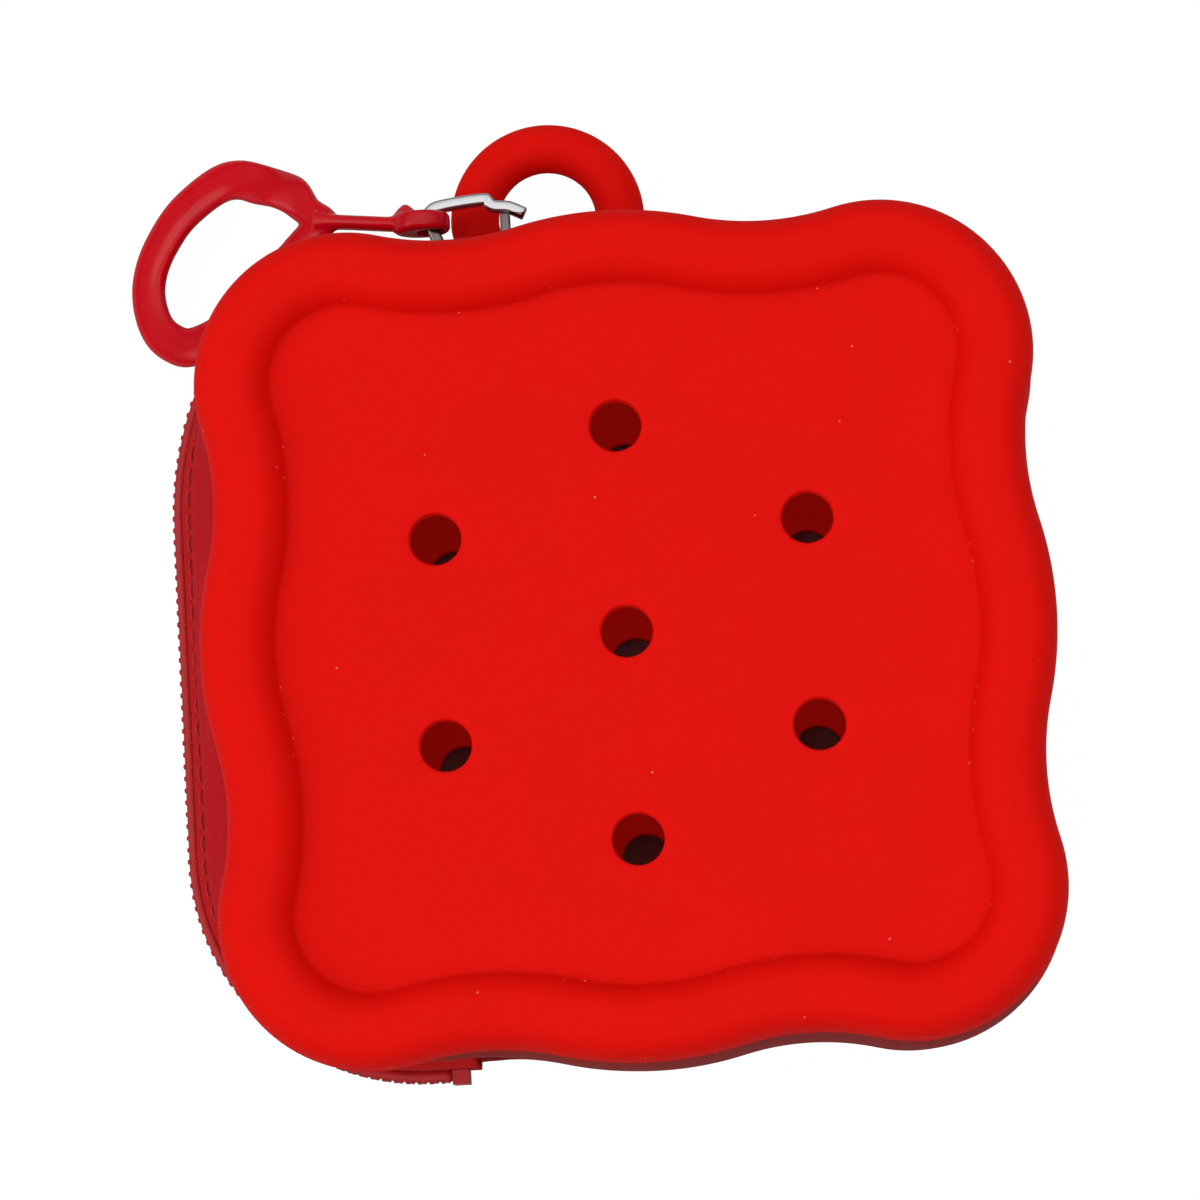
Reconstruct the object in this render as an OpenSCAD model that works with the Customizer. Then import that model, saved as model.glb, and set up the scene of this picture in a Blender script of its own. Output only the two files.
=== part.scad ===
// Square zip purse of moulded silicone with a wavy rim, lying on its back.
// The origin is the middle vent hole in the rear panel's outer face.

/* [Moulded shell] */
// Distance between the outer faces of the two panels
panel_depth = 30; // [26:0.5:36]
// How far each rim stands proud of its panel
rim_rise = 3; // [2.4:0.1:3.6]
// Half the width across the middle waves of the rim
half_width = 42; // [40:0.25:46]
// Radius of the wave in the middle of each side
wave_r = 35.3; // [30:0.1:40]
// Radius of the dip on each side of that wave
dip_r = 27; // [24:0.5:36]
// Radius of the rounded corners
corner_r = 15; // [13:0.1:15.5]
// How far the corners stay inside the middle waves
corner_inset = 0.6; // [0.3:0.1:1.5]
// Width of the rounded rim
rim_w = 7.3; // [6.6:0.1:8]
// Width of the flat on the rim's crest
crest_flat = 1.6; // [1.2:0.1:2]
// Thickness of the panels
panel_t = 2; // [1.6:0.1:2.6]
// Thickness of the side wall
wall_t = 2; // [1.6:0.1:2.4]
// Thickness of the lip that the zip is sewn to
lip_t = 1.2; // [0.9:0.1:1.3]

/* [Vent holes] */
// Diameter of the vent holes
vent_d = 5.1; // [4:0.1:6]
// Distance of the outer columns of holes from the middle one
vent_x = 18.3; // [15:0.1:19]
// Distance between rows of holes
vent_y = 10.2; // [8:0.1:11]

/* [Hang ring] */
// Radius of the ring's centre line
ring_r = 7.5; // [7:0.1:8.2]
// Radius of the ring's section
ring_tube_r = 2.5; // [2.2:0.05:2.7]
// Distance of the ring's middle from the left side
ring_in = 35.6; // [35:0.1:37]

/* [Zip] */
// How far the chain stands proud of the rim on the left side
zip_left_proud = 3.7; // [3.4:0.1:4.2]
// How far the chain stands proud of the rim on the top side, where it lies within it
zip_top_proud = -0.7; // [-0.9:0.1:-0.5]
// How far the chain stands proud of the rim on the bottom side
zip_low_proud = 0.6; // [0.4:0.1:0.9]
// Radius of the chain's outer face round the bottom corner
zip_low_r = 23.5; // [22.5:0.1:23.7]
// Radius of its outer face round the top corner
zip_top_r = 12.5; // [12:0.1:13.5]
// Radius of its long bend from the left side into the top corner
zip_bend_r = 36; // [34:0.5:38]
// Distance from tooth to tooth along one row
tooth_pitch = 1.2; // [1.1:0.01:1.3]
// Thickness of the coil above the tape
coil_t = 1.3; // [1.1:0.05:1.4]
// Thickness of the tape
tape_t = 0.6; // [0.4:0.05:0.7]

/* [Slider and pull] */
// Width of the slider's plates at the nose
slider_w = 7.2; // [6.9:0.1:7.2]
// Thickness of the slider's top plate
plate_t = 0.9; // [0.7:0.05:1]
// Height of the crown above the top plate
crown_h = 5.1; // [4.9:0.1:5.3]
// Width of the crown's strip
crown_w = 1.6; // [1.2:0.05:1.7]
// Thickness of the crown's strip
crown_t = 0.95; // [0.8:0.05:1]
// Length of the pull's loop
loop_len = 25; // [23.5:0.1:26]
// Width of the pull's band
band_w = 4; // [3.4:0.1:4.2]
// Thickness of the pull's band
band_t = 1.9; // [1.5:0.1:2.1]
// Angle at which the loop droops to the table
droop = 33; // [30:0.5:34]

/* [Hidden] */
$fn = 48;
over = 1;
seat_gap = 0.05;
far = 4 * half_width;

// Levels: the rear panel's outer face is at zero
mid_z = panel_depth / 2;
crest_z = panel_depth + rim_rise;

// Outer face of the chain from the middle, on its three sides
zip_left = half_width + zip_left_proud;
zip_top = half_width + zip_top_proud;
zip_low = half_width + zip_low_proud;

// Fold of the front between the two ends of the zip; a name ending in _in is measured from the left side
fold_in = 20.5;
fold_x = fold_in - half_width;
fold_gap = 0.1;

// Section of the moulded shell, as offsets from the rim's outline and drops from its crest
rim_side = 3.65;
neck_in = 0.9;
neck_drop = 5.6;
wall_bulge = 0.5;
inner_fillet = 3.4;
bead_foot_share = 0.3;
// Each row's drop, its share of the zip's path and its share of the window's half height
upper_wall_shares = [0.5, 0.45, 0.45];
lower_wall_shares = [0.72, 0.8, 0.85];
inner_wall_shares = [0.6, 0.7, 1.3];
fillet_shares = [0.7, 0.2];

// Zip window and tape
window_half = 5.5;
lip_in = 2.2;
tape_edge = 0.9;
tape_flat = 3.9;
tape_turn = 5.2;
tape_turn_in = 3.5;
tape_hem = 7;
tape_hem_in = 5.6;
zip_top_end_in = 35.5;
zip_top_end = zip_top_end_in - half_width;
zip_low_end_in = 24.5;
zip_low_end = zip_low_end_in - half_width;
window_top_in = 37;
window_top_x = window_top_in - half_width;
window_low_in = 25.5;
window_low_x = window_low_in - half_width;
window_blend = 4;

// Hang ring
ring_x = ring_in - half_width;
ring_rise = -1.35;
ring_drop = 6.5;
ring_root = 1.1;
ring_steps = 32;
ring_sides = 14;
ring_turn_share = 0.3;
tape_clear = 0.3;
foot_w = 4.2;
foot_reach = 1.6;
foot_drop = 1.5;

// Chain
tooth_w = 0.45;
tooth_reach = 0.5;
coil_half = 2.1;
core_w = 0.6;
chain_top_in = 29.4;
chain_top_end = chain_top_in - half_width;
chain_low_in = 21.8;
chain_low_end = chain_low_in - half_width;

// Slider
tail_in = 22.6;
tail_x = tail_in - half_width;
nose_in = 32.6;
nose_x = nose_in - half_width;
tail_w = 6.4;
nose_w = 4.6;
shoulder_share = 0.62;
widest_share = 0.74;
nose_share = 0.9;
plate_gap = 0.2;
back_plate_t = 0.8;
flange_in = 0.3;
divider_w = 1.4;
divider_len = 2.4;
divider_back = 0.4;
post_w = 1.4;
post_len = 1;
crown_len = 9.8;
crown_in = 23.7;
crown_left = crown_in - half_width;
crown_shares = [
    [0.12, -0.1], [0.03, 0.45], [0, 0.66], [0.03, 0.8], [0.11, 0.89], [0.35, 0.965], [0.59, 1],
    [0.63, 0.95], [0.655, 0.87], [0.71, 0.82], [0.85, 0.78], [1, 0.62]
];
post_share = 0.8;
post_h_share = 0.57;
stop_len = 1.6;
stop_w = 1.9;
stop_from = 3.4;

// Pull: eye on the crown's leg, neck and loop
eye_r = 2.9;
eye_bore_r = 1.4;
eye_t = 2;
eye_lift = 1.4;
eye_in = 23;
eye_x = eye_in - half_width;
eye_bore_in = 24;
eye_bore_x = eye_bore_in - half_width;
bump_r = 1.3;
bump_in = 21.4;
bump_x = bump_in - half_width;
bump_sink = 0.15;
neck_w = 3;
neck_t = 1.7;
band_sides = 10;
neck_end_in = 13;
neck_end_lift = 3.7;
neck_end_drop = 2.3;
neck_end = [neck_end_in - half_width, zip_top + plate_gap + plate_t + neck_end_lift, mid_z - neck_end_drop];
neck_start_in = 21;
neck_start_x = neck_start_in - half_width;
neck_run_in = 0.7;
loop_shares = [
    [0, 0], [0.09, 0.06], [0.18, 0.147], [0.32, 0.205], [0.45, 0.25], [0.575, 0.24], [0.75, 0.158],
    [0.86, 0.06], [0.935, -0.05], [0.96, -0.17], [0.925, -0.3], [0.845, -0.38], [0.73, -0.415],
    [0.52, -0.35], [0.35, -0.22], [0.2, -0.11], [0.09, -0.03]
];

// Arcs of the rim: wave, dip and half a corner, then their mirror image, four times round
corner_c = half_width - corner_inset - corner_r;
wave_c = [half_width - wave_r, 0];
corner_at = [corner_c, corner_c];
dip_c = meet(wave_c, wave_r + dip_r, corner_at, corner_r + dip_r);
wave_end = angle_of(dip_c - wave_c);
corner_start = angle_of(dip_c - corner_at);

function angle_of(v) = atan2(v[1], v[0]);
function meet(a, ra, b, rb) =
    let (
        d = norm(b - a),
        along = (ra * ra - rb * rb + d * d) / (2 * d),
        aside = sqrt(ra * ra - along * along),
        u = (b - a) / d
    )
    a + along * u + aside * [u[1], -u[0]];
function arc(c, r, from, to, n, side = 1) =
    [for (i = [0:n - 1]) let (a = from + (to - from) * i / n, d = [cos(a), sin(a)])
        [c + r * d, side * d]];
half_side = concat(
    arc(wave_c, wave_r, 0, wave_end, 2),
    arc(dip_c, dip_r, 180 + wave_end, 180 + corner_start, 4, -1),
    arc(corner_at, corner_r, corner_start, 45, 5)
);
corner_tip = [corner_at + corner_r * [cos(45), sin(45)], [cos(45), sin(45)]];
function swap(s) = [[s[0][1], s[0][0]], [s[1][1], s[1][0]]];
one_side = concat(
    half_side, [corner_tip],
    [for (i = [len(half_side) - 1:-1:1]) swap(half_side[i])]
);
function turn(v, a) = [v[0] * cos(a) - v[1] * sin(a), v[0] * sin(a) + v[1] * cos(a)];
outline = [for (k = [0:3]) for (s = one_side) [turn(s[0], 90 * k), turn(s[1], 90 * k)]];

// Arcs of the zip's path: the top corner, the long bend below it and the bottom corner
bend_way_shares = [-0.8, 0.6];
bend_c = [zip_bend_r - zip_left, zip_top - zip_top_r - (zip_bend_r - zip_top_r) * bend_way_shares[1]];
top_c = bend_c + (zip_bend_r - zip_top_r) * bend_way_shares;
low_c = [zip_low_r - zip_left, zip_low_r - zip_low];

// Point of that path in a direction, moved inwards by an inset
function ray_round(u, c, r) = let (b = u * c) (b + sqrt(b * b - c * c + r * r)) * u;
function zip_at(d, inset) =
    let (
        u = d / norm(d),
        side = (d[1] > 0 ? zip_top : zip_low) - inset,
        x_side = d[0] / abs(d[1]) * side,
        y_left = d[1] / -d[0] * (zip_left - inset),
        join = bend_c + (zip_bend_r - inset) * bend_way_shares
    )
    x_side > (d[1] > 0 ? top_c[0] : low_c[0]) ? [x_side, sign(d[1]) * side]
    : y_left > low_c[1] && y_left < bend_c[1] ? [inset - zip_left, y_left]
    : d[1] < 0 ? ray_round(u, low_c, zip_low_r - inset)
    : u[0] * join[1] > u[1] * join[0] ? ray_round(u, top_c, zip_top_r - inset)
    : ray_round(u, bend_c, zip_bend_r - inset);

// How much a place on the outline belongs to the zip: 1 beside it, 0 where the wall is closed
function ease(t) = let (u = min(1, max(0, t))) u * u * (3 - 2 * u);
function zip_share(p) =
    ease(((p[1] > 0 ? window_top_x : window_low_x) + window_blend - p[0]) / window_blend);

// Rows of the shell's section, from the panel's edge over the rim, down the wall and back inside:
// offset and drop on the closed wall, share of the zip's path, inset and drop beside the zip
rim_half = (rim_w - crest_flat) / 2;
half_depth = crest_z - mid_z;
bead_foot = mixed(rim_side, neck_drop, 1 - bead_foot_share);
fillet_drop = rim_rise + panel_t + inner_fillet * fillet_shares[0];
section = concat(
    [for (a = [0:22.5:90])
        let (o = -rim_w + rim_half * (1 - cos(a)), d = rim_rise * (1 - sin(a))) [o, d, 0, 0, d]],
    [for (a = [90:-22.5:0])
        let (o = rim_half * (cos(a) - 1), d = rim_side * (1 - sin(a))) [o, d, 0, 0, d]],
    [
        [-neck_in * bead_foot_share, bead_foot, 0, 0, bead_foot],
        [-neck_in, neck_drop, 0, 0, neck_drop],
        [wall_bulge - neck_in, half_depth * upper_wall_shares[0], upper_wall_shares[1], lip_in,
            neck_drop + window_half * upper_wall_shares[2]],
        [wall_bulge / 2, half_depth * lower_wall_shares[0], lower_wall_shares[1], lip_in,
            neck_drop + window_half * lower_wall_shares[2]],
        [wall_bulge, half_depth, 1, lip_in, half_depth - window_half],
        [wall_bulge - wall_t, half_depth, 1, lip_in + lip_t, half_depth - window_half],
        [-neck_in - wall_t, half_depth * inner_wall_shares[0], inner_wall_shares[1], lip_in + wall_t,
            half_depth - window_half * inner_wall_shares[2]],
        [-neck_in - inner_fillet, fillet_drop, fillet_shares[1], lip_in + wall_t, fillet_drop],
        [-neck_in - 2 * inner_fillet, rim_rise + panel_t, 0, 0, rim_rise + panel_t]
    ]
);
function mixed(a, b, t) = a + (b - a) * t;
function shell_point(s, row) =
    let (
        z = zip_share(s[0]),
        wall = s[0] + row[0] * s[1],
        zip = row[2] * z > 0 ? zip_at(s[0], row[3]) : wall,
        p = mixed(wall, zip, row[2] * z)
    )
    [p[0], p[1], crest_z - mixed(row[1], row[4], z)];

// Closed skin through rings of equal length, with flat ends
module skin(rings) {
    n = len(rings[0]);
    m = len(rings);
    polyhedron(
        [for (r = rings) each r],
        concat(
            [[for (i = [0:n - 1]) n - 1 - i]],
            [for (j = [0:m - 2]) for (i = [0:n - 1])
                [j * n + i, j * n + (i + 1) % n, (j + 1) * n + (i + 1) % n]],
            [for (j = [0:m - 2]) for (i = [0:n - 1])
                [j * n + i, (j + 1) * n + (i + 1) % n, (j + 1) * n + i]],
            [[for (i = [0:n - 1]) (m - 1) * n + i]]
        )
    );
}

// Closed skin through rings that run round and meet again
module closed_band(rings) {
    n = len(rings);
    m = len(rings[0]);
    polyhedron(
        [for (r = rings) each r],
        concat(
            [for (j = [0:n - 1]) for (i = [0:m - 1])
                [j * m + i, j * m + (i + 1) % m, ((j + 1) % n) * m + (i + 1) % m]],
            [for (j = [0:n - 1]) for (i = [0:m - 1])
                [j * m + i, ((j + 1) % n) * m + (i + 1) % m, ((j + 1) % n) * m + i]]
        )
    );
}

module vents() {
    places = [
        [0, 0], [0, 2 * vent_y], [0, -2 * vent_y],
        [vent_x, vent_y], [-vent_x, vent_y], [vent_x, -vent_y], [-vent_x, -vent_y]
    ];
    for (p = places)
        translate([p[0], p[1], -over - rim_rise])
            cylinder(d = vent_d, h = crest_z + rim_rise + 2 * over);
}

// Half of the moulding on the front side, without and with its vent holes
module half_skin() skin([for (row = section) [for (s = outline) shell_point(s, row)]]);
module front_half() {
    difference() {
        half_skin();
        vents();
    }
}

module rear_shell() color([0.86, 0.06, 0.04])
    translate([0, 0, 2 * mid_z]) mirror([0, 0, 1]) front_half();

// Ring that stands on the rear half's top wall, its left foot spread, and cut clear of the tape:
// its root lies within the lip beside the zip and within the wall where that is closed
module hang_ring() color([0.86, 0.06, 0.04]) {
    ring_y = half_width + ring_r - ring_tube_r + ring_rise;
    lip_root = zip_top - lip_in - lip_t / 2;
    wall_root = half_width - ring_root;
    ring_left = ring_x - ring_r - ring_tube_r;
    difference() {
        intersection() {
            translate([0, 0, mid_z - ring_drop]) {
                closed_band([for (i = [0:ring_steps - 1])
                    let (a = 360 * (i + ring_turn_share) / ring_steps, d = [cos(a), sin(a), 0])
                        [for (k = [0:ring_sides - 1]) let (b = 360 * k / ring_sides)
                            [ring_x, ring_y, 0] + d * (ring_r + ring_tube_r * cos(b))
                                + [0, 0, ring_tube_r * sin(b)]]]);
                translate([0, 0, -foot_w / 2]) linear_extrude(foot_w) polygon([
                    [ring_left - foot_reach, lip_root], [ring_left, ring_y - foot_drop],
                    [ring_x - ring_r, ring_y - foot_drop], [ring_x - ring_r + ring_tube_r, lip_root]
                ]);
            }
            translate([0, 0, -far / 2]) linear_extrude(far) polygon([
                [-far, lip_root], [window_top_x, lip_root], [window_top_x + window_blend, wall_root],
                [far, wall_root], [far, far], [-far, far]
            ]);
        }
        translate([-far / 2, zip_top - coil_t + tape_clear - far, mid_z - window_half - tape_clear])
            cube(far);
        translate([0, 0, 2 * mid_z]) mirror([0, 0, 1]) half_skin();
    }
}

module front_shell() color([0.86, 0.06, 0.04]) {
    difference() {
        front_half();
        translate([fold_x + fold_gap - far, -far / 2, -far / 2]) cube(far);
    }
}

module front_flap() color([0.86, 0.06, 0.04]) {
    difference() {
        front_half();
        translate([fold_x - fold_gap, -far / 2, -far / 2]) cube(far);
    }
}

// Runs of the zip: a section with x outwards from the chain's face and y up from the middle level
module zip_frame() { translate([0, 0, mid_z]) children(); }
module along_top(x_from, x_to)
    zip_frame() translate([x_from, zip_top, 0]) rotate([90, 0, 90])
        linear_extrude(x_to - x_from) children();
module along_bottom(x_from, x_to)
    zip_frame() translate([x_to, -zip_low, 0]) rotate([90, 0, -90])
        linear_extrude(x_to - x_from) children();
module along_left()
    zip_frame() translate([-zip_left, low_c[1], 0]) rotate([90, 0, 180])
        linear_extrude(bend_c[1] - low_c[1]) children();
module round_corner(c, r, from)
    zip_frame() translate([c[0], c[1], 0]) rotate([0, 0, from])
        rotate_extrude(angle = 90) translate([r, 0]) children();

// Everything above the line on which the top corner's arc takes over from the long bend
module above_join() {
    square_way = [bend_way_shares[1], -bend_way_shares[0]];
    translate([0, 0, -far / 2]) linear_extrude(far) polygon([
        bend_c, bend_c + far * bend_way_shares, bend_c + far * (bend_way_shares + square_way),
        bend_c + far * square_way
    ]);
}
module round_left(fold_at) {
    along_top(top_c[0], fold_at) children();
    intersection() {
        round_corner(top_c, zip_top_r, 90) children();
        above_join();
    }
    difference() {
        round_corner(bend_c, zip_bend_r, 90) children();
        above_join();
    }
    along_left() children();
    round_corner(low_c, zip_low_r, 180) children();
    along_bottom(low_c[0], fold_at) children();
}

module tape_section(side) {
    polygon([for (p = [
        [-coil_t, tape_edge], [-coil_t, tape_flat], [-tape_turn_in, tape_turn],
        [-tape_hem_in, tape_hem], [-tape_hem_in - tape_t, tape_hem],
        [-tape_turn_in - tape_t, tape_turn], [-coil_t - tape_t, tape_flat], [-coil_t - tape_t, tape_edge]
    ]) [p[0], side * p[1]]]);
}

module rear_tape() color([0.72, 0.1, 0.11]) {
    round_left(fold_x) tape_section(-1);
    along_top(fold_x, zip_top_end) tape_section(-1);
    along_bottom(fold_x, zip_low_end) tape_section(-1);
}

module front_tape() color([0.72, 0.1, 0.11]) round_left(fold_x - fold_gap) tape_section(1);

module front_tape_ends() color([0.72, 0.1, 0.11]) {
    along_top(fold_x + fold_gap, zip_top_end) tape_section(1);
    along_bottom(fold_x + fold_gap, zip_low_end) tape_section(1);
}

// Place and outward angle along the chain, measured from its top end
turn_from = chain_top_end - top_c[0];
bend_start = angle_of(bend_way_shares);
bend_from = turn_from + zip_top_r * (bend_start - 90) * PI / 180;
left_from = bend_from + zip_bend_r * (180 - bend_start) * PI / 180;
corner_from = left_from + bend_c[1] - low_c[1];
low_from = corner_from + zip_low_r * PI / 2;
chain_len = low_from + chain_low_end - low_c[0];
function round_spot(c, r, from, s) =
    let (a = from + s / r * 180 / PI) [c + r * [cos(a), sin(a)], a];
function chain_at(s) =
    s < turn_from ? [[chain_top_end - s, zip_top], 90]
    : s < bend_from ? round_spot(top_c, zip_top_r, 90, s - turn_from)
    : s < left_from ? round_spot(bend_c, zip_bend_r, bend_start, s - bend_from)
    : s < corner_from ? [[-zip_left, bend_c[1] + left_from - s], 180]
    : s < low_from ? round_spot(low_c, zip_low_r, 180, s - corner_from)
    : [[low_c[0] + s - low_from, -zip_low], 270];

module core_section(side)
    translate([-coil_t, side > 0 ? coil_half - core_w : -coil_half]) square([coil_t, core_w]);

// Teeth of one row whose places lie between two x positions; the rear row is half a pitch on
module teeth(side, x_from, x_to) {
    tall = coil_half - core_w / 2 + tooth_reach;
    for (s = [tooth_w + (side > 0 ? 0 : tooth_pitch / 2):tooth_pitch:chain_len - tooth_w]) {
        spot = chain_at(s);
        if (spot[0][0] > x_from && spot[0][0] < x_to)
            zip_frame() translate([spot[0][0], spot[0][1], side > 0 ? -tooth_reach : tooth_reach - tall])
                rotate([0, 0, spot[1]]) translate([-coil_t, -tooth_w / 2, 0])
                    cube([coil_t, tooth_w, tall]);
    }
}

module rear_coil() color([0.62, 0.08, 0.09]) {
    round_left(fold_x) core_section(-1);
    along_top(fold_x, chain_top_end) core_section(-1);
    along_bottom(fold_x, chain_low_end) core_section(-1);
    teeth(-1, -far, far);
}

module front_coil() color([0.62, 0.08, 0.09]) {
    round_left(fold_x - fold_gap) core_section(1);
    teeth(1, -far, fold_x - tooth_w);
}

module front_coil_ends() color([0.62, 0.08, 0.09]) {
    along_top(fold_x + fold_gap, chain_top_end) core_section(1);
    along_bottom(fold_x + fold_gap, chain_low_end) core_section(1);
    teeth(1, fold_x + tooth_w, far);
}

// Clamp on one tape's edge beyond the last tooth
module top_stop(side) {
    zip_frame()
        translate([chain_top_end + stop_from, zip_top - coil_t + seat_gap,
            side > 0 ? tape_edge : -tape_edge - stop_w])
            cube([stop_len, coil_t + plate_gap, stop_w]);
}
module rear_top_stop() color([0.82, 0.83, 0.85]) top_stop(-1);
module front_top_stop() color([0.82, 0.83, 0.85]) top_stop(1);

module bottom_stop() color([0.62, 0.08, 0.09])
    zip_frame()
        translate([chain_low_end + seat_gap, -zip_low - plate_gap, -coil_half - plate_gap])
            cube([stop_len, coil_t + plate_gap - seat_gap, 2 * (coil_half + plate_gap)]);

// Slider: two plates joined by the divider, with the top plate's flanges over the coil
plate_top = zip_top + plate_gap + plate_t;
slide_len = nose_x - tail_x;
plate_side = [
    [0, tail_w / 2], [slide_len * shoulder_share, tail_w / 2], [slide_len * widest_share, slider_w / 2],
    [slide_len * nose_share, slider_w / 2], [slide_len, nose_w / 2]
];
module plate_outline()
    polygon(concat(
        plate_side,
        [for (i = [len(plate_side) - 1:-1:0]) [plate_side[i][0], -plate_side[i][1]]]
    ));
module lying(y_from, y_to)
    zip_frame() translate([tail_x, y_to, 0]) rotate([90, 0, 0]) linear_extrude(y_to - y_from) children();
module slider_body() color([0.8, 0.81, 0.83]) {
    back_top = zip_top - coil_t - tape_t - plate_gap;
    lying(zip_top + plate_gap, plate_top) plate_outline();
    lying(back_top - back_plate_t, back_top) plate_outline();
    lying(back_top - back_plate_t, plate_top)
        translate([slide_len - divider_back - divider_len, -divider_w / 2]) square([divider_len, divider_w]);
    lying(zip_top - coil_t + plate_gap, zip_top + plate_gap) difference() {
        plate_outline();
        translate([-over, -coil_half - flange_in])
            square([slide_len + 2 * over, 2 * (coil_half + flange_in)]);
    }
    translate([crown_left + crown_len * post_share - post_len / 2, plate_top - over / 2, mid_z - post_w / 2])
        cube([post_len, crown_h * post_h_share + over / 2, post_w]);
}

// Strip of even thickness along a line of points
function ribbon(line, t) =
    let (
        n = len(line),
        ways = [for (i = [0:n - 1]) let (
            d = line[min(i + 1, n - 1)] - line[max(i - 1, 0)]) [-d[1], d[0]] / norm(d)]
    )
    concat(
        [for (i = [0:n - 1]) line[i] + ways[i] * t / 2],
        [for (i = [n - 1:-1:0]) line[i] - ways[i] * t / 2]
    );

// Strip bent into an arch over the plate, with a tongue that reaches over the nose
module slider_crown() color([0.85, 0.86, 0.88])
    difference() {
        translate([0, plate_top, mid_z - crown_w / 2]) linear_extrude(crown_w)
            polygon(ribbon(
                [for (p = crown_shares) [crown_left + crown_len * p[0], (crown_h - crown_t / 2) * p[1]]],
                crown_t
            ));
        translate([-far / 2, plate_top - far, -far / 2]) cube(far);
    }

// Soft pull: an eye on the crown's leg, a neck, and a loop that droops to the table
loop_dir = [-cos(droop), 0, -sin(droop)];
loop_face = [-sin(droop), 0, cos(droop)];
loop_line = [for (p = loop_shares) neck_end + loop_len * (p[0] * loop_dir + p[1] * [0, 1, 0])];
function unit(v) = v / norm(v);
function band_ring(c, wide, flat) =
    [for (k = [0:band_sides - 1]) let (a = 360 * k / band_sides)
        c + wide * band_w / 2 * cos(a) + flat * band_t / 2 * sin(a)];
module loop_band() {
    n = len(loop_line);
    closed_band([for (i = [0:n - 1])
        let (t = unit(loop_line[(i + 1) % n] - loop_line[(i + n - 1) % n]))
            band_ring(loop_line[i], cross(loop_face, t), -loop_face)]);
}
module neck() {
    start = [neck_start_x, plate_top + eye_lift + eye_t / 2, mid_z];
    t = unit(neck_end - start);
    up = unit(cross(t, [0, 1, 0]));
    skin([for (c = [start, neck_end + neck_run_in * loop_dir])
        [for (k = [0:band_sides - 1]) let (a = 360 * k / band_sides)
            c + up * neck_w / 2 * cos(a) + cross(up, t) * neck_t / 2 * sin(a)]]);
}
module pull_strap() color([0.76, 0.05, 0.11]) {
    difference() {
        union() {
            lying_eye(eye_x, eye_r, eye_t);
            neck();
        }
        translate([0, -over, 0]) lying_eye(eye_bore_x, eye_bore_r, eye_t + 2 * over);
    }
    loop_band();
    translate([bump_x, plate_top + eye_lift + eye_t - bump_sink, mid_z]) sphere(bump_r, $fn = band_sides);
}
module lying_eye(x, r, t)
    translate([x, plate_top + eye_lift, mid_z]) rotate([-90, 0, 0]) cylinder(r = r, h = t);

rear_shell();
hang_ring();
front_shell();
front_flap();
rear_tape();
front_tape();
front_tape_ends();
rear_coil();
front_coil();
front_coil_ends();
rear_top_stop();
front_top_stop();
bottom_stop();
slider_body();
slider_crown();
pull_strap();
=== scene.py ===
"""Zip coin purse of moulded silicone: the looks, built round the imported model."""
import math

import bmesh
import bpy
import numpy as np
from bpy.props import FloatProperty, FloatVectorProperty, IntProperty, PointerProperty
from mathutils import Matrix, Vector
from mathutils.geometry import delaunay_2d_cdt


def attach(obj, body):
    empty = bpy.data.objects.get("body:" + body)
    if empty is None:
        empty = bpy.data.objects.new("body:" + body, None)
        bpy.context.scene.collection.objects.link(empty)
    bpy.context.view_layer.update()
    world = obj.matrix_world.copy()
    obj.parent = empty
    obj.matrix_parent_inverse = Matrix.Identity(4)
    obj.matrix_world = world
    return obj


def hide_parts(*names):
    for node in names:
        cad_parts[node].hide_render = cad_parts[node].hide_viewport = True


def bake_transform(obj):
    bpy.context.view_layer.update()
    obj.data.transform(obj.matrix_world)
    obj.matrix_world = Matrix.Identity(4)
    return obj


bl_info = {
    "name": "Silicone zip purse",
    "version": (1, 0, 0),
    "blender": (4, 5, 0),
    "location": "3D View > Sidebar > Purse",
    "description": "Moulded purse with a coil zip, a slider and a soft pull",
    "category": "Object",
}

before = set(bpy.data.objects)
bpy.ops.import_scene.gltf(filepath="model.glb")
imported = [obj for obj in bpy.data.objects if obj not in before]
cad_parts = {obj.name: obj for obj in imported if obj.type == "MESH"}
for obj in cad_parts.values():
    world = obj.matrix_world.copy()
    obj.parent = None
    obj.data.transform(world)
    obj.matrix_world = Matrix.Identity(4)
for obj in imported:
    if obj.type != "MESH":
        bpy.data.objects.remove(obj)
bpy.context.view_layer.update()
MM = 0.001


# Sizes and colours that a user may change

def length(name, text, mm):
    """A length property whose default is given in millimetres."""
    return FloatProperty(name=name, description=text, default=mm * MM, precision=5, unit="LENGTH")


def paint(name, text, rgb):
    """A colour property."""
    return FloatVectorProperty(name=name, description=text, default=rgb, size=3, subtype="COLOR",
                               min=0, max=1)


class PurseShell(bpy.types.PropertyGroup):
    depth: length("Depth", "Between the outer faces of the panels", 30)
    rim_rise: length("Rim rise", "How far the rims stand proud of the panels", 3)
    half_width: length("Half width", "From the middle to the waves' crests", 42)
    wave_r: length("Wave radius", "Radius of the wave in the middle of a side", 35.3)
    dip_r: length("Dip radius", "Radius of the dips beside it", 27)
    corner_r: length("Corner radius", "Radius of the corners", 15)
    corner_inset: length("Corner inset", "How far the corners stay inside the waves", 0.6)
    rim_w: length("Rim width", "Width of the round rim", 7.3)
    crest_flat: length("Crest flat", "Width of the flat on the rim", 1.6)
    panel_t: length("Panel", "Thickness of the panels", 2)
    wall_t: length("Wall", "Thickness of the side wall", 2)
    lip_t: length("Lip", "Thickness of the lip beside the zip", 1.2)
    vent_d: length("Vent", "Diameter of the vent holes", 5.1)
    vent_x: length("Vent columns", "Distance of the outer columns of holes", 18.3)
    vent_y: length("Vent rows", "Distance between rows of holes", 10.2)
    colour: paint("Silicone", "Colour of the silicone", (0.76, 0.0052, 0.0028))


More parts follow.
